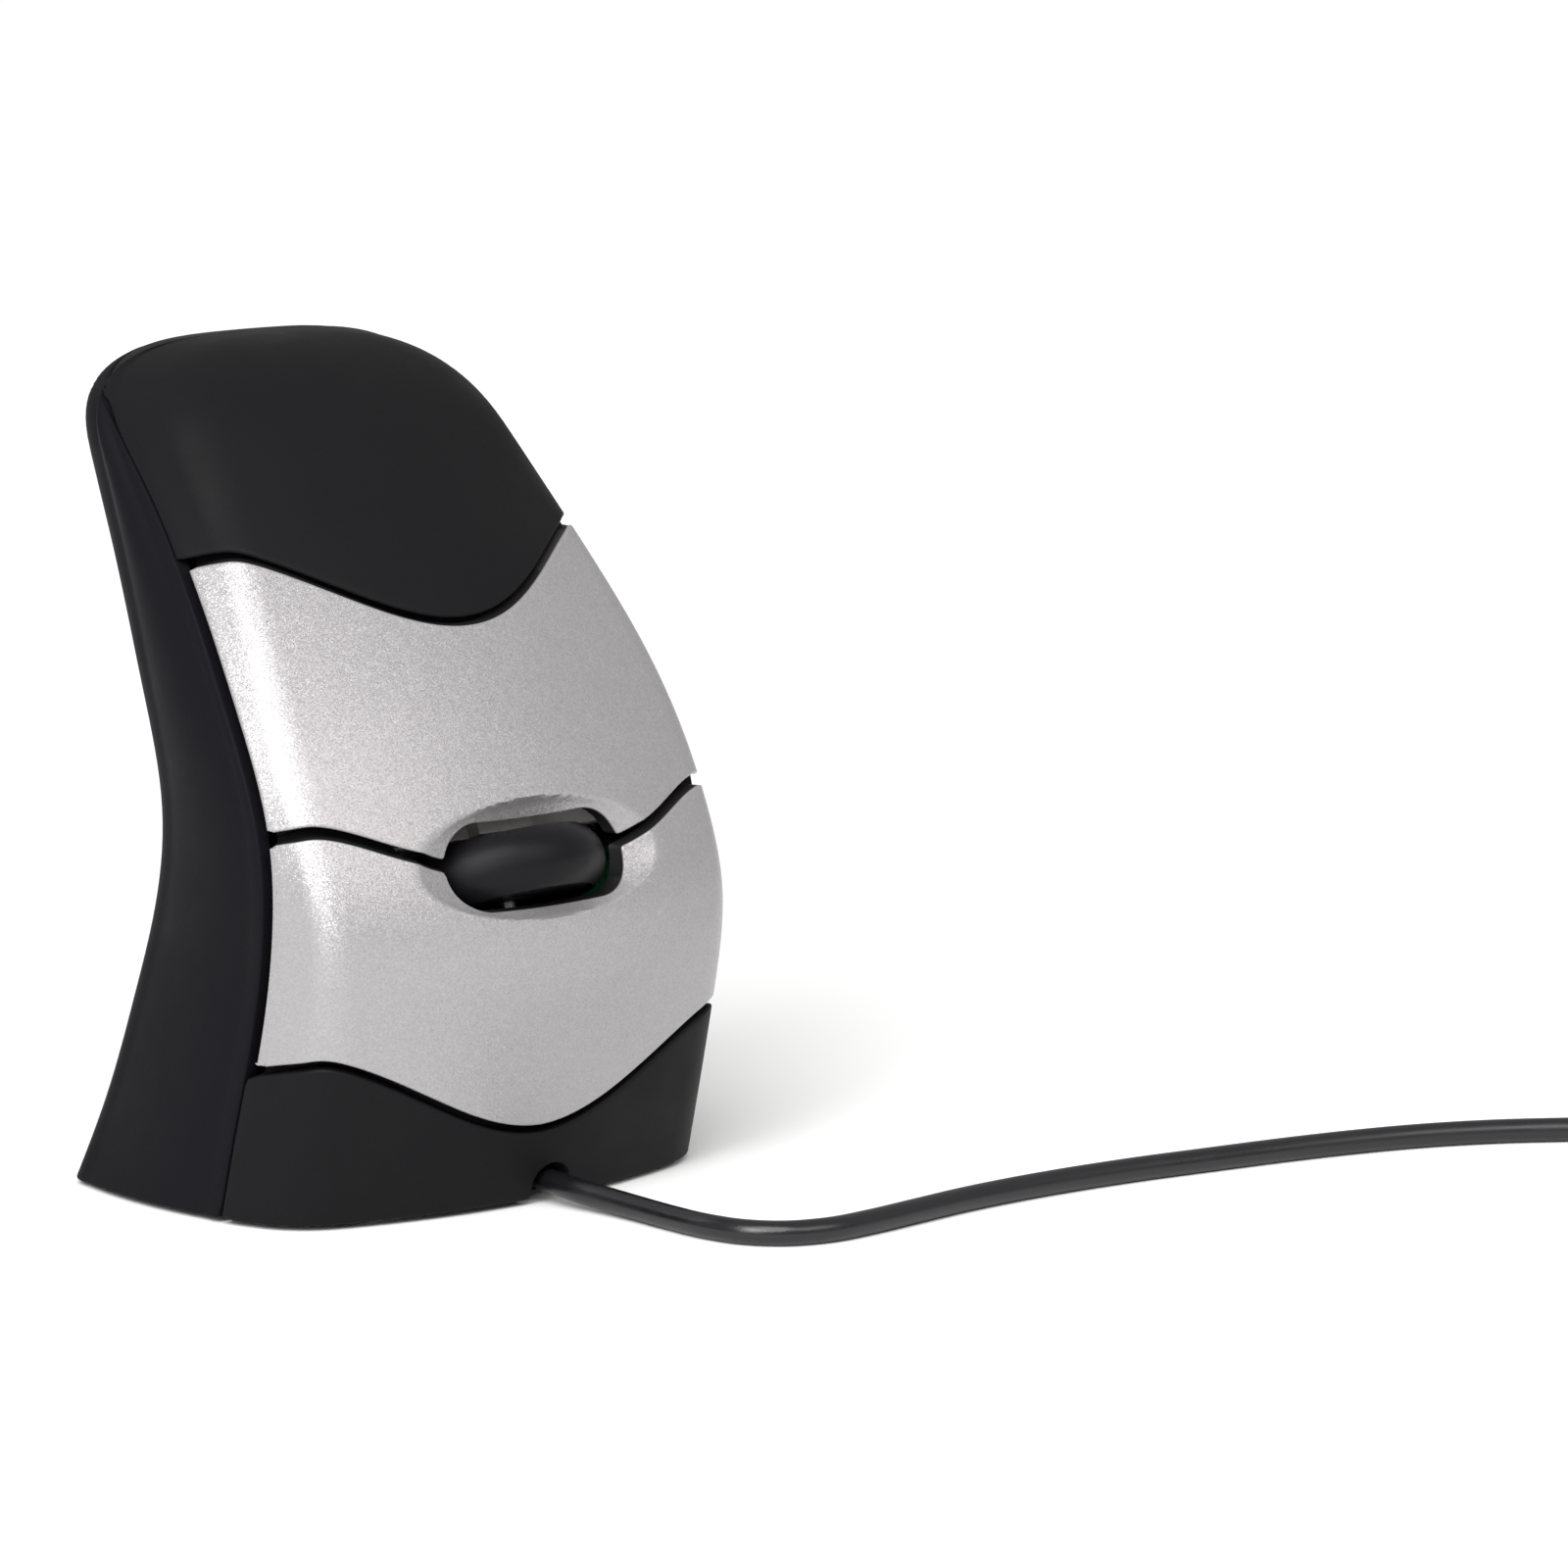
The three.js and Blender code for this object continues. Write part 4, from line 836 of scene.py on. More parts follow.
def lacquered_board():
    """Green circuit board with its copper tracks showing as lighter lines under the lacquer."""
    tint = colour("board")
    material, s, principled = start_material("board_lacquer", coat_weight=0.3, coat_roughness=0.2)
    tracks = s.node("ShaderNodeTexBrick", {
        "Vector": s.place(), "Scale": 260.0, "Mortar Size": 0.09, "Mortar Smooth": 0.2,
        "Color1": (0, 0, 0, 1), "Color2": (0.3, 0.3, 0.3, 1), "Mortar": (1, 1, 1, 1)}).outputs["Color"]
    grain = s.group("Moulded Grain", scale=4000.0)["Height"]
    track = s.math("MULTIPLY", s.node("ShaderNodeRGBToBW", {"Color": tracks}).outputs[0], 0.7)
    s.fill(principled["Base Color"], s.mix(track, tint, lighter(tint, 2.4)))
    s.fill(principled["Roughness"], s.range(grain, 0.0, 1.0, 0.3, 0.45))
    s.fill(principled["Normal"], s.node("ShaderNodeBump", {
        "Height": s.math("ADD", track, s.math("MULTIPLY", grain, 0.2)),
        "Strength": 0.6, "Distance": 0.00004}).outputs["Normal"])
    return material


def clear_moulding():
    """Clear moulded plastic with the faint flow lines of its moulding."""
    material, s, principled = start_material("clear_moulding", transmission_weight=1.0, ior=1.49)
    flow = s.noise(500.0, 2.0, 0.5, s.place((1.0, 0.3, 1.0)))
    s.fill(principled["Base Color"], s.mix(flow, (0.9, 0.95, 0.97, 1), (0.97, 0.99, 1.0, 1)))
    s.fill(principled["Roughness"], s.range(flow, 0.0, 1.0, 0.04, 0.09))
    s.fill(principled["Normal"], s.node(
        "ShaderNodeBump", {"Height": flow, "Strength": 0.3, "Distance": 0.00002}).outputs["Normal"])
    return material


def desk_top():
    tint = colour("desk")
    material, s, principled = start_material("pale_desk")
    broad = s.noise(6.0, 3.0, 0.5)
    s.fill(principled["Base Color"], s.mix(broad, lighter(tint, 0.99), lighter(tint, 1.01)))
    s.fill(principled["Roughness"], s.range(broad, 0.0, 1.0, 0.75, 0.85))
    return material


def build_materials():
    """All the finishes, by the names that the pieces ask for."""
    silver_paint()
    moulded("soft_black", colour("soft_black"), 0.58, 6500, 0.00002, 0.35, 0.25, 0.002, specular_ior_level=0.1)
    moulded("side_black", colour("side_black"), 0.55, 5200, 0.00002, 0.25, 0.25, 0.002, specular_ior_level=0.04)
    moulded("base_plastic", (0.014, 0.014, 0.015, 1), 0.5, 4200, 0.00002, 0.2, 0.2, 0.0)
    moulded("inner_black", (0.008, 0.008, 0.009, 1), 0.5, 4500, 0.00002, 0.1, 0.1, 0.0)
    moulded("inner_white", (0.72, 0.71, 0.68, 1), 0.42, 4200, 0.00001, 0.2, 0.0, 0.0)
    moulded("glide_white", (0.62, 0.62, 0.6, 1), 0.3, 3000, 0.00001, 0.5, 0.1, 0.0)
    moulded("tyre_rubber", colour("rubber"), 0.44, 7500, 0.000012, 0.3, 0.2, 0.002, specular_ior_level=0.14)
    moulded("plunger_red", (0.38, 0.03, 0.02, 1), 0.35, 4000, 0.00001, 0.2, 0.2, 0.0)
    moulded("cord_vinyl", colour("vinyl"), 0.36, 3800, 0.00001, 0.5, 0.0, 0.006)
    bright_metal("plated_steel", (0.62, 0.63, 0.64, 1), 0.24, (1.0, 0.12, 1.0))
    lacquered_board()
    clear_moulding()


def finish(name):
    """The material of that name; the first call makes all of them."""
    if label_of(name) not in bpy.data.materials:
        build_groups()
        build_materials()
    return bpy.data.materials[label_of(name)]


# ---------------------------------------------------------------- stage, camera and cord

CAMERA_PLACE = (-0.468188, -0.643879, 0.187849)
CAMERA_FORWARD = (0.6264, 0.7599, -0.1736)


def soft_light(name, place, target, size, power, tint=(1, 1, 1)):
    lamp = bpy.data.lights.new(name, "AREA")
    lamp.shape = "RECTANGLE"
    lamp.size, lamp.size_y = size
    lamp.energy = power
    lamp.color = tint
    light = bpy.data.objects.new(name, lamp)
    light.location = place
    way = Vector(target) - Vector(place)
    light.rotation_euler = way.to_track_quat("-Z", "Y").to_euler()
    bpy.context.collection.objects.link(light)


def broad_light(name, way, power, spread):
    """Even light over the whole desk from one side, as from a large window."""
    lamp = bpy.data.lights.new(name, "SUN")
    lamp.energy, lamp.angle = power, math.radians(spread)
    light = bpy.data.objects.new(name, lamp)
    light.location = Vector(way) * 3
    light.rotation_euler = (-Vector(way)).to_track_quat("-Z", "Y").to_euler()
    bpy.context.collection.objects.link(light)


class BuildStage(bpy.types.Operator):
    """Adds the camera, the pale desk and the soft studio light"""

    bl_idname = "upright_mouse.stage"
    bl_label = "Stage"

    def execute(self, context):
        lens = bpy.data.cameras.new("view_camera")
        lens.lens, lens.sensor_width = 151.2, 36.0
        lens.clip_start, lens.clip_end = 0.01, 50.0
        camera = bpy.data.objects.new("view_camera", lens)
        camera.location = CAMERA_PLACE
        camera.rotation_euler = Vector(CAMERA_FORWARD).to_track_quat("-Z", "Y").to_euler()
        context.collection.objects.link(camera)
        context.scene.camera = camera

        half = sizes().floor_size * 500
        steps = np.linspace(-half, half, 9)
        grid = [(x, y, 0.0) for y in steps for x in steps]
        desk = lone_object("desk_top", grid, grid_faces(9, 9), [desk_top()])

        world = bpy.data.worlds.new("studio")
        world.use_nodes = True
        world.node_tree.nodes["Background"].inputs["Color"].default_value = (1, 1, 1, 1)
        world.node_tree.nodes["Background"].inputs["Strength"].default_value = 0.5
        context.scene.world = world
        context.scene.view_settings.view_transform = "Standard"
        broad_light("window_light", (-0.55, -0.40, 0.73), 2.75, 50)
        soft_light("left_softbox", (-1.2, -0.5, 0.7), (0, 0, 0.07), (0.5, 0.9), 8)
        soft_light("front_softbox", (0.15, -1.35, 1.1), (0, 0, 0.07), (0.9, 0.7), 6.5, (1.0, 0.965, 0.94))
        return {"FINISHED"}


def smooth_route(points, steps):
    """A centripetal curve through the points, as a dense line."""
    line = [Vector(point) for point in points]
    line = [line[0] * 2 - line[1]] + line + [line[-1] * 2 - line[-2]]
    dense = []
    for p0, p1, p2, p3 in zip(line, line[1:], line[2:], line[3:]):
        t1 = (p1 - p0).length**0.5
        t2 = t1 + (p2 - p1).length**0.5
        t3 = t2 + (p3 - p2).length**0.5
        for step in range(steps):
            t = t1 + (t2 - t1) * step / steps
            a = p0 * ((t1 - t) / t1) + p1 * (t / t1)
            b = p1 * ((t2 - t) / (t2 - t1)) + p2 * ((t - t1) / (t2 - t1))
            c = p2 * ((t3 - t) / (t3 - t2)) + p3 * ((t - t2) / (t3 - t2))
            d = a * ((t2 - t) / t2) + b * (t / t2)
            e = b * ((t3 - t) / (t3 - t1)) + c * ((t - t1) / (t3 - t1))
            dense.append(d * ((t2 - t) / (t2 - t1)) + e * ((t - t1) / (t2 - t1)))
    dense.append(line[-2])
    return dense


def coil_turns():
    """The turns of the coil: four layers, each wound against the last and a diameter above it."""
    inner, outer = COIL_RADII[0], COIL_RADII[-1]
    pitch = 2 * CORD_RADIUS
    changes = []
    radius, layer = outer, 0
    shifts = [(150, -1), (30, 1), (-90, -1), (150, 1)]
    angle = -120
    for window, way in shifts:
        start = window
        while start < angle:
            start += 360
        for _ in range(3):
            changes.append((start, 0.0 + way * pitch, 0.0))
            start += 360
        angle = start - 60
        layer += 1
        if layer < len(shifts):
            changes.append((angle, 0.0, pitch))
            angle += 60
    last = -100
    while last < changes[-1][0] + 60:
        last += 360
    points = []
    for place in np.arange(-120, last + 1, 10):
        r, z = outer, CORD_RADIUS
        for start, across, up in changes:
            share = min(1.0, max(0.0, (place - start) / 60))
            eased_share = share * share * (3 - 2 * share)
            r += across * eased_share
            z += up * eased_share
        turn = math.radians(place)
        points.append((COIL_CENTRE[0] + r * math.cos(turn), COIL_CENTRE[1] + r * math.sin(turn), z))
    return points


class BuildCord(bpy.types.Operator):
    """Lays the cord from the mouse to its coil and on to the plug"""

    bl_idname = "upright_mouse.cord"
    bl_label = "Cord"

    def execute(self, context):
        coil = coil_turns()
        route = smooth_route(CORD_ROUTE + coil[:1], 8)[:-1] + [Vector(p) for p in coil]
        lifted = [(165.0, -106.6, 10.45)]
        route += smooth_route([coil[-1]] + lifted + TAIL_ROUTE, 6)[1:]
        line = bpy.data.curves.new("cord", "CURVE")
        line.dimensions = "3D"
        line.bevel_depth = CORD_RADIUS * 0.001
        line.bevel_resolution = 5
        line.use_fill_caps = True
        spline = line.splines.new("POLY")
        spline.points.add(len(route) - 1)
        spline.use_smooth = True
        for point, place in zip(spline.points, route):
            point.co = (place[0] * 0.001, (place[1] + DEPTH_SHIFT) * 0.001, place[2] * 0.001, 1)
        line.materials.append(finish("cord_vinyl"))
        cord = bpy.data.objects.new("cord", line)
        context.collection.objects.link(cord)
        ride(cord, "housing", "cord_tube", "cord_coil", "cord_tail", slot="cord_vinyl")

        on_it = [build_coil_tie(), build_plug_grip(), build_plug_relief()]
        on_it += [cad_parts[name] for name in ("plug_shell", "plug_tongue")]
        return {"FINISHED"}


def build_coil_tie():
    """A flat strap over the coil's bundle, with rounded edges and bends."""
    inner, outer = COIL_RADII[0] - CORD_RADIUS - 0.8, COIL_RADII[-1] + CORD_RADIUS + 0.8
    top, bend = COIL_HEIGHT + 0.8, 2.0
    path = [(inner, 0.4), (inner, top - bend)]
    for step in range(1, 7):
        angle = math.pi - step / 6 * math.pi / 2
        path.append((inner + bend + bend * math.cos(angle), top - bend + bend * math.sin(angle)))
    for step in range(0, 7):
        angle = math.pi / 2 - step / 6 * math.pi / 2
        path.append((outer - bend + bend * math.cos(angle), top - bend + bend * math.sin(angle)))
    path.append((outer, 0.4))
    section = rounded_profile([(-2, -0.4), (2, -0.4), (2, 0.4), (-2, 0.4)], 0.3, 2)
    turn = math.radians(115)
    points = []
    line = np.array(path)
    ways = unit(np.gradient(line, axis=0))
    for (r, z), (way_r, way_z) in zip(path, ways):
        for side, lift in section:
            radial, height = r + way_z * lift, z - way_r * lift
            x = radial * math.cos(turn) - side * math.sin(turn)
            y = radial * math.sin(turn) + side * math.cos(turn)
            points.append((COIL_CENTRE[0] + x, COIL_CENTRE[1] + DEPTH_SHIFT + y, max(height, 0.05)))
    count = len(section)
    body = Body()
    faces = grid_faces(len(path), count, closed=True)
    faces += [tuple(range(count - 1, -1, -1)), tuple(range((len(path) - 1) * count, len(path) * count))]
    body.add(points, faces)
    return ride(body.make("coil_tie", [finish("inner_black")]), "housing", "cord_tie", slot="inner_black")


def plug_matrix():
    return Matrix.Translation(PLUG_PLACE) @ Matrix.Rotation(PLUG_HEADING, 4, "Z")


def build_plug_grip():
    """The plug's overmoulded grip: a softened block with finger ridges on its two broad faces."""
    place = plug_matrix()
    sides = 64
    stations = [(8.9, 0.80), (9.05, 0.87), (9.5, 0.93), (10.4, 0.96)]
    stations += [(x, 1.0) for x in np.arange(11.5, 29.2, 0.35)]
    stations += [(29.6, 0.995), (30.3, 0.985), (30.8, 0.95), (31.0, 0.90)]
    rings = []
    for x, size in stations:
        ring = []
        ridged = 0.5 - 0.5 * math.cos(2 * math.pi * (x - 14) / 2.1) if 14 < x < 24.5 else 0.0
        for i in range(sides):
            angle = 2 * math.pi * i / sides
            c, s = math.cos(angle), math.sin(angle)
            across = 5.8 * size * math.copysign(abs(c)**0.42, c)
            up = 3.4 * size * math.copysign(abs(s)**0.42, s)
            if abs(across) < 4.4:
                up -= math.copysign(0.35 * ridged * min(1.0, (4.4 - abs(across)) / 0.6), up)
            ring.append(tuple(place @ Vector((x, across, up))))
        rings.extend(ring)
    body = Body()
    faces = grid_faces(len(stations), sides, closed=True)
    faces += [tuple(range(sides - 1, -1, -1)), tuple(range((len(stations) - 1) * sides, len(stations) * sides))]
    body.add(rings, faces)
    return ride(body.make("plug_grip", [finish("cord_vinyl")]), "housing", "plug_body", slot="cord_vinyl")


def build_plug_relief():
    """The ribbed sleeve that eases the cord into the plug."""
    place = plug_matrix() @ Matrix.Rotation(math.pi / 2, 4, "Y")
    profile = [(0.01, 0.0), (1.75, 0.0), (1.95, 0.15)]
    for rib in range(4):
        start = 0.5 + rib * 1.9
        radius = 2.05 + rib * 0.22
        profile += [(radius, start), (radius + 0.04, start + 1.05), (radius - 0.4, start + 1.15), (radius - 0.38, start + 1.8)]
    profile += [(2.85, 8.0), (2.9, 8.3), (2.8, 8.6), (0.01, 8.6)]
    body = Body()
    body.add(*turned_grid(rounded_profile(profile, 0.14, 2), 48, place))
    return ride(body.make("plug_relief", [finish("cord_vinyl")], 50), "housing", "plug_strain_relief", slot="cord_vinyl")


# ---------------------------------------------------------------- casing


def wide_ends(places):
    """Leaves out the places next to each end, so that there is room to roll the edge over."""
    return np.delete(places, [1, 2, len(places) - 3, len(places) - 2])


def dome_levels(first, kind):
    """Outer heights from a level up over the dome, closer together where the parting turns back."""
    walls = np.linspace(first, DOME_START, 3)
    angles = np.linspace(0, math.pi / 2, 27)[1:]
    dome = DOME_START + (BODY_TOP - DOME_START) * np.sin(angles)**(2 / DOME_POWER)
    upper = TABLE_V > 95
    turning = np.interp([5.2, 5.5, 5.8, 6.1, 6.4, 6.7, 6.999], PARTING[kind][upper], TABLE_V[upper])
    levels = np.unique(np.round(np.concatenate([walls, dome, turning]), 4))
    return levels[np.concatenate([[True], np.diff(levels) > 0.004])]


def build_cap(body, radius):
    """The cap: from the top seam over the dome to the parting at the back."""
    t = wide_ends(np.linspace(-1, 1, 115))
    v = np.full(len(t), 75.0)
    for _ in range(40):
        x = skin(t * parting("front", v), v)[:, 0]
        v = (v + seam_height(TOP_SEAM, x) + CAP_GAP / 2) / 2
    join = 86.0
    rows = [v + (join - v) * share for share in np.linspace(0, 1, 11)[:-1]]
    rows += [np.full(len(t), level) for level in dome_levels(join, "front")]
    levels = np.array(rows)
    q = t[None] * parting("front", levels)
    thicker = np.clip(1 - (levels - v[None]) / 2.6, 0, 1) * (BED_TOP + 0.05 - WALL)
    rolled_skin(body, skin(q, levels), skin(q, levels, WALL + thicker), radius)


def build_skirt(body, radius):
    """The skirt: from the foot, round the cord's arch, up to the bottom seam."""
    radius_x = ARCH_HALF_WIDTH
    spring = ARCH_HEIGHT - radius_x
    arch = [(EXIT[0] - radius_x, z) for z in np.linspace(SHELL_FOOT, spring, 12)[:-1]]
    for angle in np.linspace(math.pi, 0, 40):
        arch.append((EXIT[0] + radius_x * math.cos(angle), spring + radius_x * math.sin(angle)))
    arch += [(EXIT[0] + radius_x, z) for z in np.linspace(spring, SHELL_FOOT, 12)[1:]]
    arch = np.array(arch) + [0, 0.001]
    middle = notched_border(arch, lambda x: np.full(np.shape(x), SHELL_FOOT), 1, 151, 1)
    sides = np.linspace(-3, -1, 25)[:-1]
    left = np.stack([sides, np.full(len(sides), SHELL_FOOT)], -1)
    lower = np.concatenate([left, middle, left[::-1] * [-1, 1]])
    upper = with_strips(middle_seam_border(BOTTOM_SEAM, -CAP_GAP / 2, "front", 151), BOTTOM_SEAM, -CAP_GAP / 2, "front")
    keep = wide_ends(np.arange(len(lower)))
    grid = ruled(lower[keep], upper[keep], np.linspace(0, 1, 17))
    thicker = np.clip(1 - (upper[keep][None, :, 1] - grid[..., 1]) / 2.6, 0, 1) * (BED_TOP + 0.05 - WALL)
    rolled_skin(body, skin_of(grid, "front", 0.0), skin_of(grid, "front", WALL + thicker), radius)


def build_bed(body):
    """The bed behind the buttons, open where the dish, the wheel and the posts pass it."""
    overlap = 2.2
    for side, seam, reach in ((1, TOP_SEAM, 21.4), (-1, BOTTOM_SEAM, 18.8)):
        across = np.linspace(0, 1, 40)
        rim = [(-19.5 * math.cos(a), 9.8 * math.sin(a)) for a in across * math.acos(6.8 / 19.5)]
        outline = rim + [(-6.8, reach)] + [(6.8, reach)] + [(-x, z) for x, z in rim[::-1]]
        dense = resample(np.array(outline), 240)
        up = dense[:, 1] * side
        notch = np.stack([dense[:, 0], FACE_ORIGIN[2] + up * math.cos(FACE_LEAN)], -1)
        near = notched_border(notch, lambda x: seam_height(MIDDLE_SEAM, x), side, 111, 0)
        near = with_strips(near, MIDDLE_SEAM, 0.0, "front")
        shift = side * (CAP_GAP / 2 + overlap)
        far = with_strips(middle_seam_border(seam, shift, "front", 111), seam, shift, "front")
        keep = wide_ends(np.arange(len(near)))
        lower, upper = (near, far) if side > 0 else (far, near)
        grid = ruled(lower[keep], upper[keep], np.linspace(0, 1, 15))
        rolled_skin(body, skin_of(grid, "front", BED_TOP), skin_of(grid, "front", BED_FLOOR), 0.15, 2)


class BuildFrontShell(bpy.types.Operator):
    """Makes the cap, the skirt with the cord's arch and the bed behind the buttons"""

    bl_idname = "upright_mouse.front_shell"
    bl_label = "Front Shell"

    def execute(self, context):
        radius = sizes().edge_round * 1000
        body = Body()
        build_cap(body, radius)
        build_skirt(body, radius)
        build_bed(body)
        x, y = SHELL_SCREWS[0]
        for side in (-1, 1):
            bar_between(body, 2.6, 14, 3, 0, 32, (side * x, y + DEPTH_SHIFT), 1.3)
            brick(body, (side * x - 0.8, y - 7.2 + DEPTH_SHIFT, 2.6), (side * x + 0.8, y - 2.8 + DEPTH_SHIFT, 7))
        shell = body.make("front_shell_skin", [finish("soft_black")])
        ride(shell, "housing", "front_shell", slot="front_black")
        return {"FINISHED"}


class BuildRearShell(bpy.types.Operator):
    """Makes the back and sides of the casing as one fine skin"""

    bl_idname = "upright_mouse.rear_shell"
    bl_label = "Rear Shell"

    def execute(self, context):
        t = wide_ends(np.linspace(-1, 1, 131))
        walls = np.linspace(SHELL_FOOT, 86, 50)[:-1]
        levels = np.concatenate([walls, dome_levels(86.0, "rear")])
        top = np.interp(6.999, PARTING["rear"][TABLE_V > 95], TABLE_V[TABLE_V > 95])
        levels = levels[levels <= top + 0.001][:, None]
        start = parting("rear", levels)
        size = 7 - (7 - start) * np.abs(t)[None]
        q = np.where(t[None] <= 0, size, -size)
        body = Body()
        rolled_skin(body, skin(q, levels), skin(q, levels, WALL), sizes().edge_round * 1000)
        x, y = SHELL_SCREWS[1]
        for side in (-1, 1):
            bar_between(body, 2.6, 14, 3, 0, 32, (side * x, y + DEPTH_SHIFT), 1.3)
            low, high = sorted((side * (x + 2.8), side * 33.6))
            brick(body, (low, y - 0.8 + DEPTH_SHIFT, 2.6), (high, y + 0.8 + DEPTH_SHIFT, 12))
        shell = body.make("rear_shell_skin", [finish("side_black")])
        ride(shell, "housing", "rear_shell", slot="side_black")
        return {"FINISHED"}


def face_depth(up):
    """How far in from the wheel's frame the face's skin lies, at a height up the face."""
    v = np.linspace(5, 85, 2000)
    local = to_face(skin(np.zeros(len(v)), v))
    return float(np.interp(up, local[:, 2], local[:, 1]))


def build_button(name, node, slot_side, far_seam, post_up):
    """A silver button: its skin between two seams, its half of the dish and slot, and its post."""
    count = 201
    shift = slot_side * BUTTON_GAP / 2
    near = notched_border(
        slot_edge(slot_side), lambda x: seam_height(MIDDLE_SEAM, x) + shift, slot_side, count, 1)
    near = with_strips(near, MIDDLE_SEAM, shift, "button")
    far_shift = -slot_side * CAP_GAP / 2
    far = with_strips(middle_seam_border(far_seam, far_shift, "button", count), far_seam, far_shift, "button")
    keep = wide_ends(np.arange(len(near)))
    near, far = near[keep], far[keep]
    share = np.linspace(0, 1, 72)
    share = share * (0.8 + 0.2 * share)
    if slot_side > 0:
        grid = ruled(near, far, share)
    else:
        grid = ruled(far, near, 1 - share[::-1])
    blend = sizes().dish_blend * 1000
    outer = dish(skin_of(grid, "button", 0.0), 0.0, blend)
    inner = dish(skin_of(grid, "button", BUTTON_WALL), DISH_WALL, blend)
    body = Body()
    rolled_skin(body, outer, inner, sizes().edge_round * 1000, 5, rim_mark=1)
    post_end = BUTTON_BOARD_Y - SWITCH_DEPTH - PLUNGER_PROUD - POST_GAP
    start = face_depth(post_up) + BUTTON_WALL * 0.6
    brick(body, (-2.5, start, post_up - 1.4), (2.5, post_end, post_up + 1.4), 0.2, 1, from_face)
    piece = body.make(name, [finish("silver_paint"), finish("inner_black")])
    return ride(piece, node, node, slot="silver_paint")


class BuildButtons(bpy.types.Operator):
    """Makes the two silver buttons, with the dish and the slot for the wheel"""

    bl_idname = "upright_mouse.buttons"
    bl_label = "Buttons"

    def execute(self, context):
        build_button("upper_button_skin", "upper_button", 1, TOP_SEAM, UPPER_SWITCH_Z)
        build_button("lower_button_skin", "lower_button", -1, BOTTOM_SEAM, LOWER_SWITCH_Z)
        return {"FINISHED"}


class BuildWheel(bpy.types.Operator):
    """Makes the wheel's rubber tyre and its hub"""

    bl_idname = "upright_mouse.wheel"
    bl_label = "Wheel"

    def execute(self, context):
        place = Matrix.Translation(FACE_ORIGIN) @ Matrix.Rotation(-FACE_LEAN, 4, "X")
        place = place @ Matrix.Translation((0, WHEEL_DEPTH, 0))
        half, inner = WHEEL_WIDTH / 2 - TYRE_TRIM, WHEEL_RADIUS - 2.4
        fall = sizes().tyre_round * 1000
        profile = [(inner, -half + 0.1), (inner + 0.25, -half)]
        for share in np.linspace(-1, 1, 41):
            profile.append((WHEEL_RADIUS - fall * abs(share)**TYRE_CROWN, share * half))
        profile += [(inner + 0.25, half), (inner, half - 0.1)]
        tyre = Body()
        tyre.add(*turned_grid(profile, 128, place))
        ride(tyre.make("wheel_tyre", [finish("tyre_rubber")]), "scroll_wheel", "scroll_wheel_tyre", slot="wheel_rubber")

        face, web, rim = half - 0.3, 3.4, WHEEL_RADIUS - 2.6
        corners = [
            (WHEEL_BORE, -face), (3.4, -face), (3.4, -web), (rim - 1.8, -web), (rim - 1.8, -face), (rim, -face),
            (rim, face), (rim - 1.8, face), (rim - 1.8, web), (3.4, web), (3.4, face), (WHEEL_BORE, face)]
        hub = Body()
        hub.add(*turned_grid(rounded_profile(corners, 0.25, 3), 96, place))
        ride(hub.make("wheel_hub", [finish("inner_black")]), "scroll_wheel", "scroll_wheel_hub", slot="inner_black")
        return {"FINISHED"}


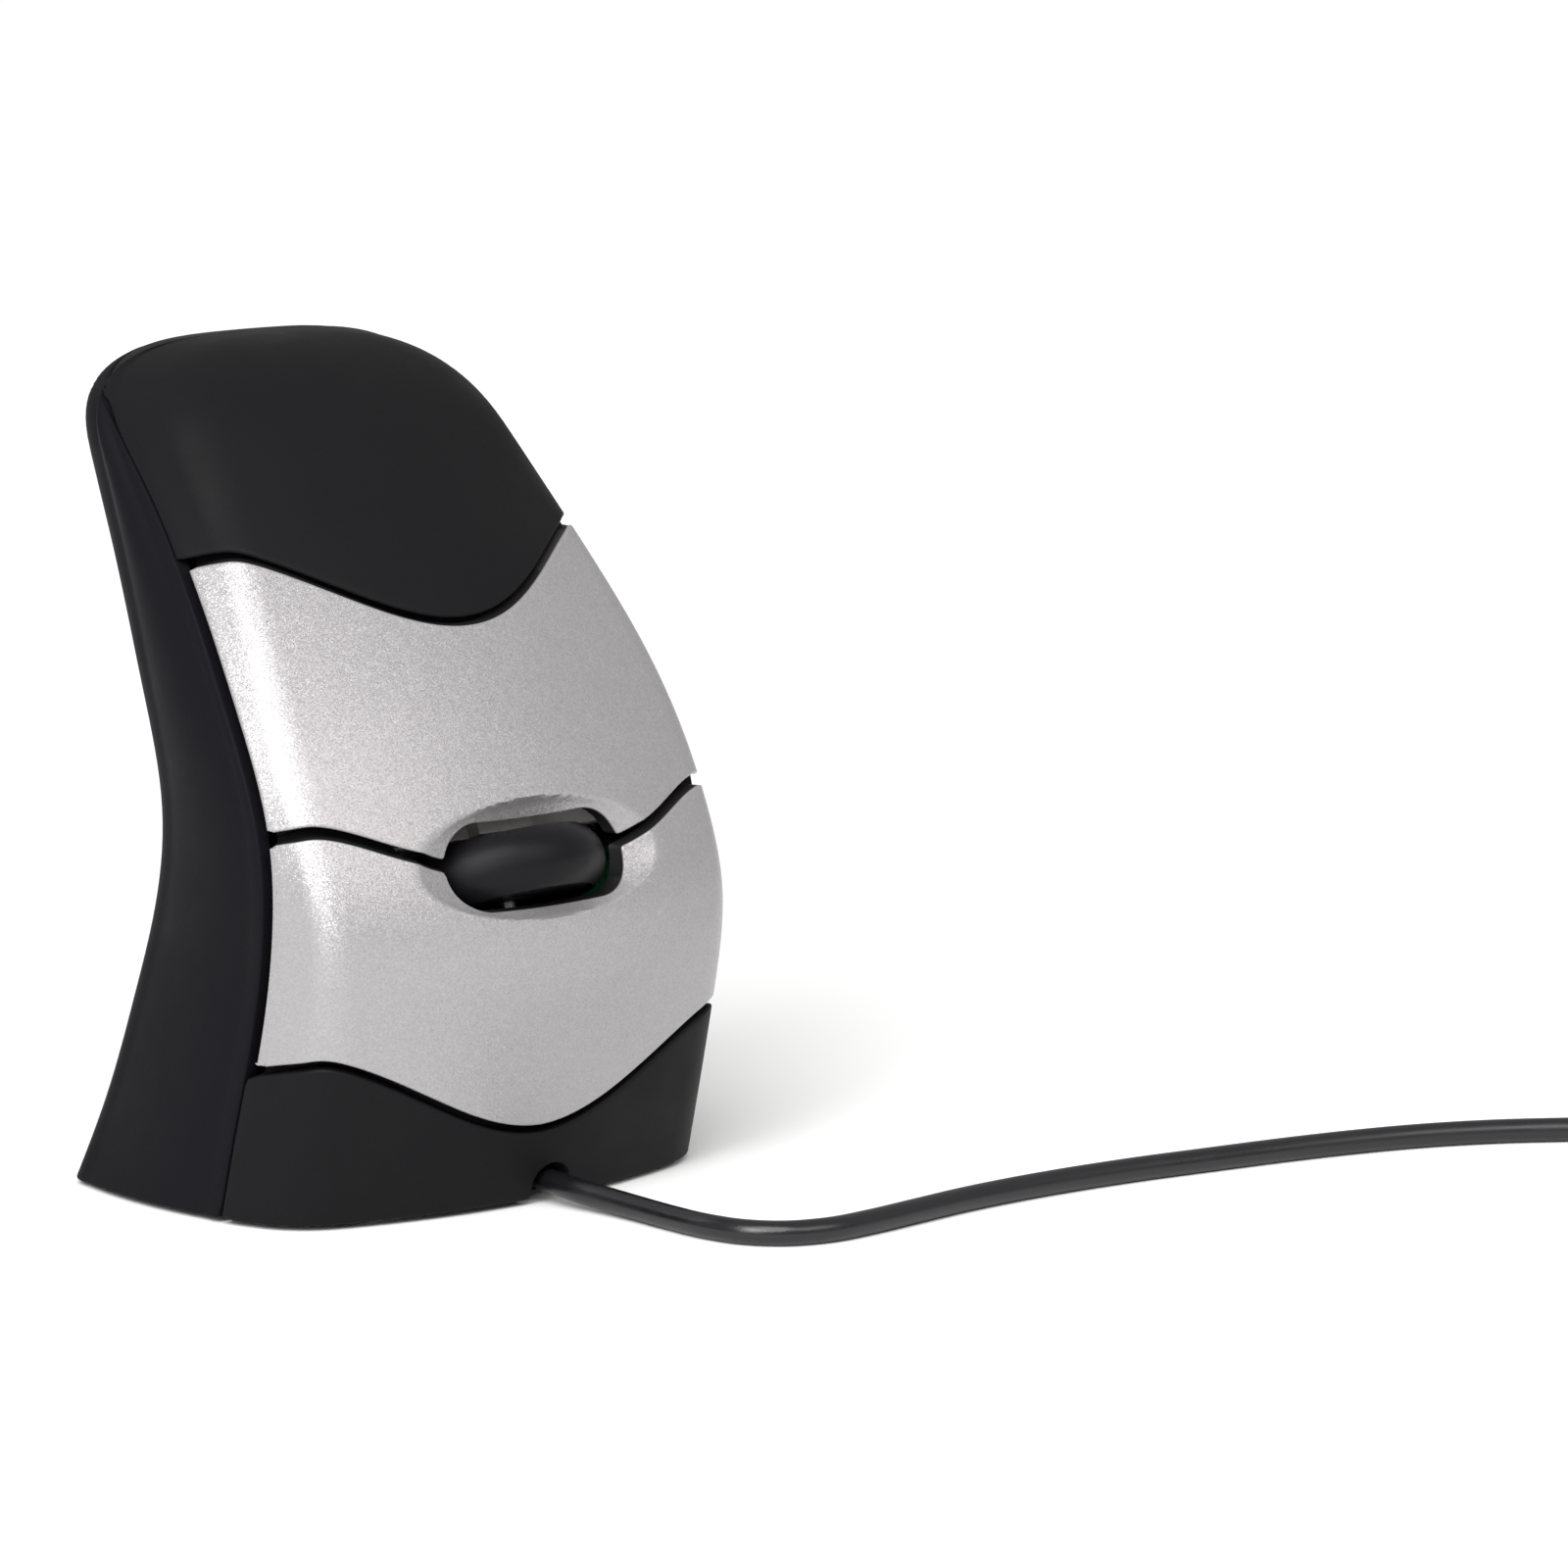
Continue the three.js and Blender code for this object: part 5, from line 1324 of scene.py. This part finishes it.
INNER_FINISHES = {
    "base_plastic": ["base_plate"],
    "glide_white": ["glide_foot_1", "glide_foot_2", "glide_foot_3", "glide_foot_4"],
    "plated_steel": [
        "shell_screw_1", "shell_screw_2", "shell_screw_3", "shell_screw_4", "board_screw_1", "board_screw_2",
        "board_screw_3", "wheel_axle", "wheel_leaf_spring", "wheel_switch_body", "plug_shell"],
    "inner_white": ["wheel_carrier", "encoder_rotor", "cable_header", "cable_connector", "plug_tongue"],
    "inner_black": [
        "encoder_body", "upper_switch_body", "lower_switch_body", "wheel_switch_stem", "optical_sensor", "board_link"],
    "board_lacquer": ["button_board", "main_board"],
    "plunger_red": ["upper_switch_plunger", "lower_switch_plunger"],
    "clear_moulding": ["sensor_lens", "sensor_led"],
    "cord_vinyl": ["cable_grommet", "inner_cable"],
}


class FinishInnerPieces(bpy.types.Operator):
    """Gives every piece that is kept from the frame its own finish"""

    bl_idname = "upright_mouse.inner_pieces"
    bl_label = "Inner Pieces"

    def execute(self, context):
        for name, nodes in INNER_FINISHES.items():
            for node in nodes:
                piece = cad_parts[node]
                if not piece.material_slots:
                    raise RuntimeError(f"{node} has no material slot")
                for place in piece.material_slots:
                    place.material = finish(name)
        return {"FINISHED"}


# ---------------------------------------------------------------- the add-on


STEPS = [BuildStage, BuildCord, BuildRearShell, BuildFrontShell, BuildButtons, BuildWheel, FinishInnerPieces]


class MousePanel(bpy.types.Panel):
    """Lists the mouse's pieces, sizes and colours in the 3D view's sidebar"""

    bl_idname = "VIEW3D_PT_upright_mouse"
    bl_label = "Upright Mouse"
    bl_space_type = "VIEW_3D"
    bl_region_type = "UI"
    bl_category = "Upright Mouse"

    def draw(self, context):
        for step in STEPS:
            self.layout.operator(step.bl_idname)
        for group in (context.scene.mouse_sizes, context.scene.mouse_colours):
            box = self.layout.box()
            for name in group.__annotations__:
                box.prop(group, name)


CLASSES = [MouseSizes, MouseColours, *STEPS, MousePanel]


def register():
    for kind in CLASSES:
        bpy.utils.register_class(kind)
    bpy.types.Scene.mouse_sizes = PointerProperty(type=MouseSizes)
    bpy.types.Scene.mouse_colours = PointerProperty(type=MouseColours)


def unregister():
    del bpy.types.Scene.mouse_colours
    del bpy.types.Scene.mouse_sizes
    for kind in reversed(CLASSES):
        bpy.utils.unregister_class(kind)


def main():
    register()
    for step in STEPS:
        group, name = step.bl_idname.split(".")
        if getattr(getattr(bpy.ops, group), name)() != {"FINISHED"}:
            raise RuntimeError(f"{step.bl_label} wasn't finished")


if __name__ == "__main__":
    main()
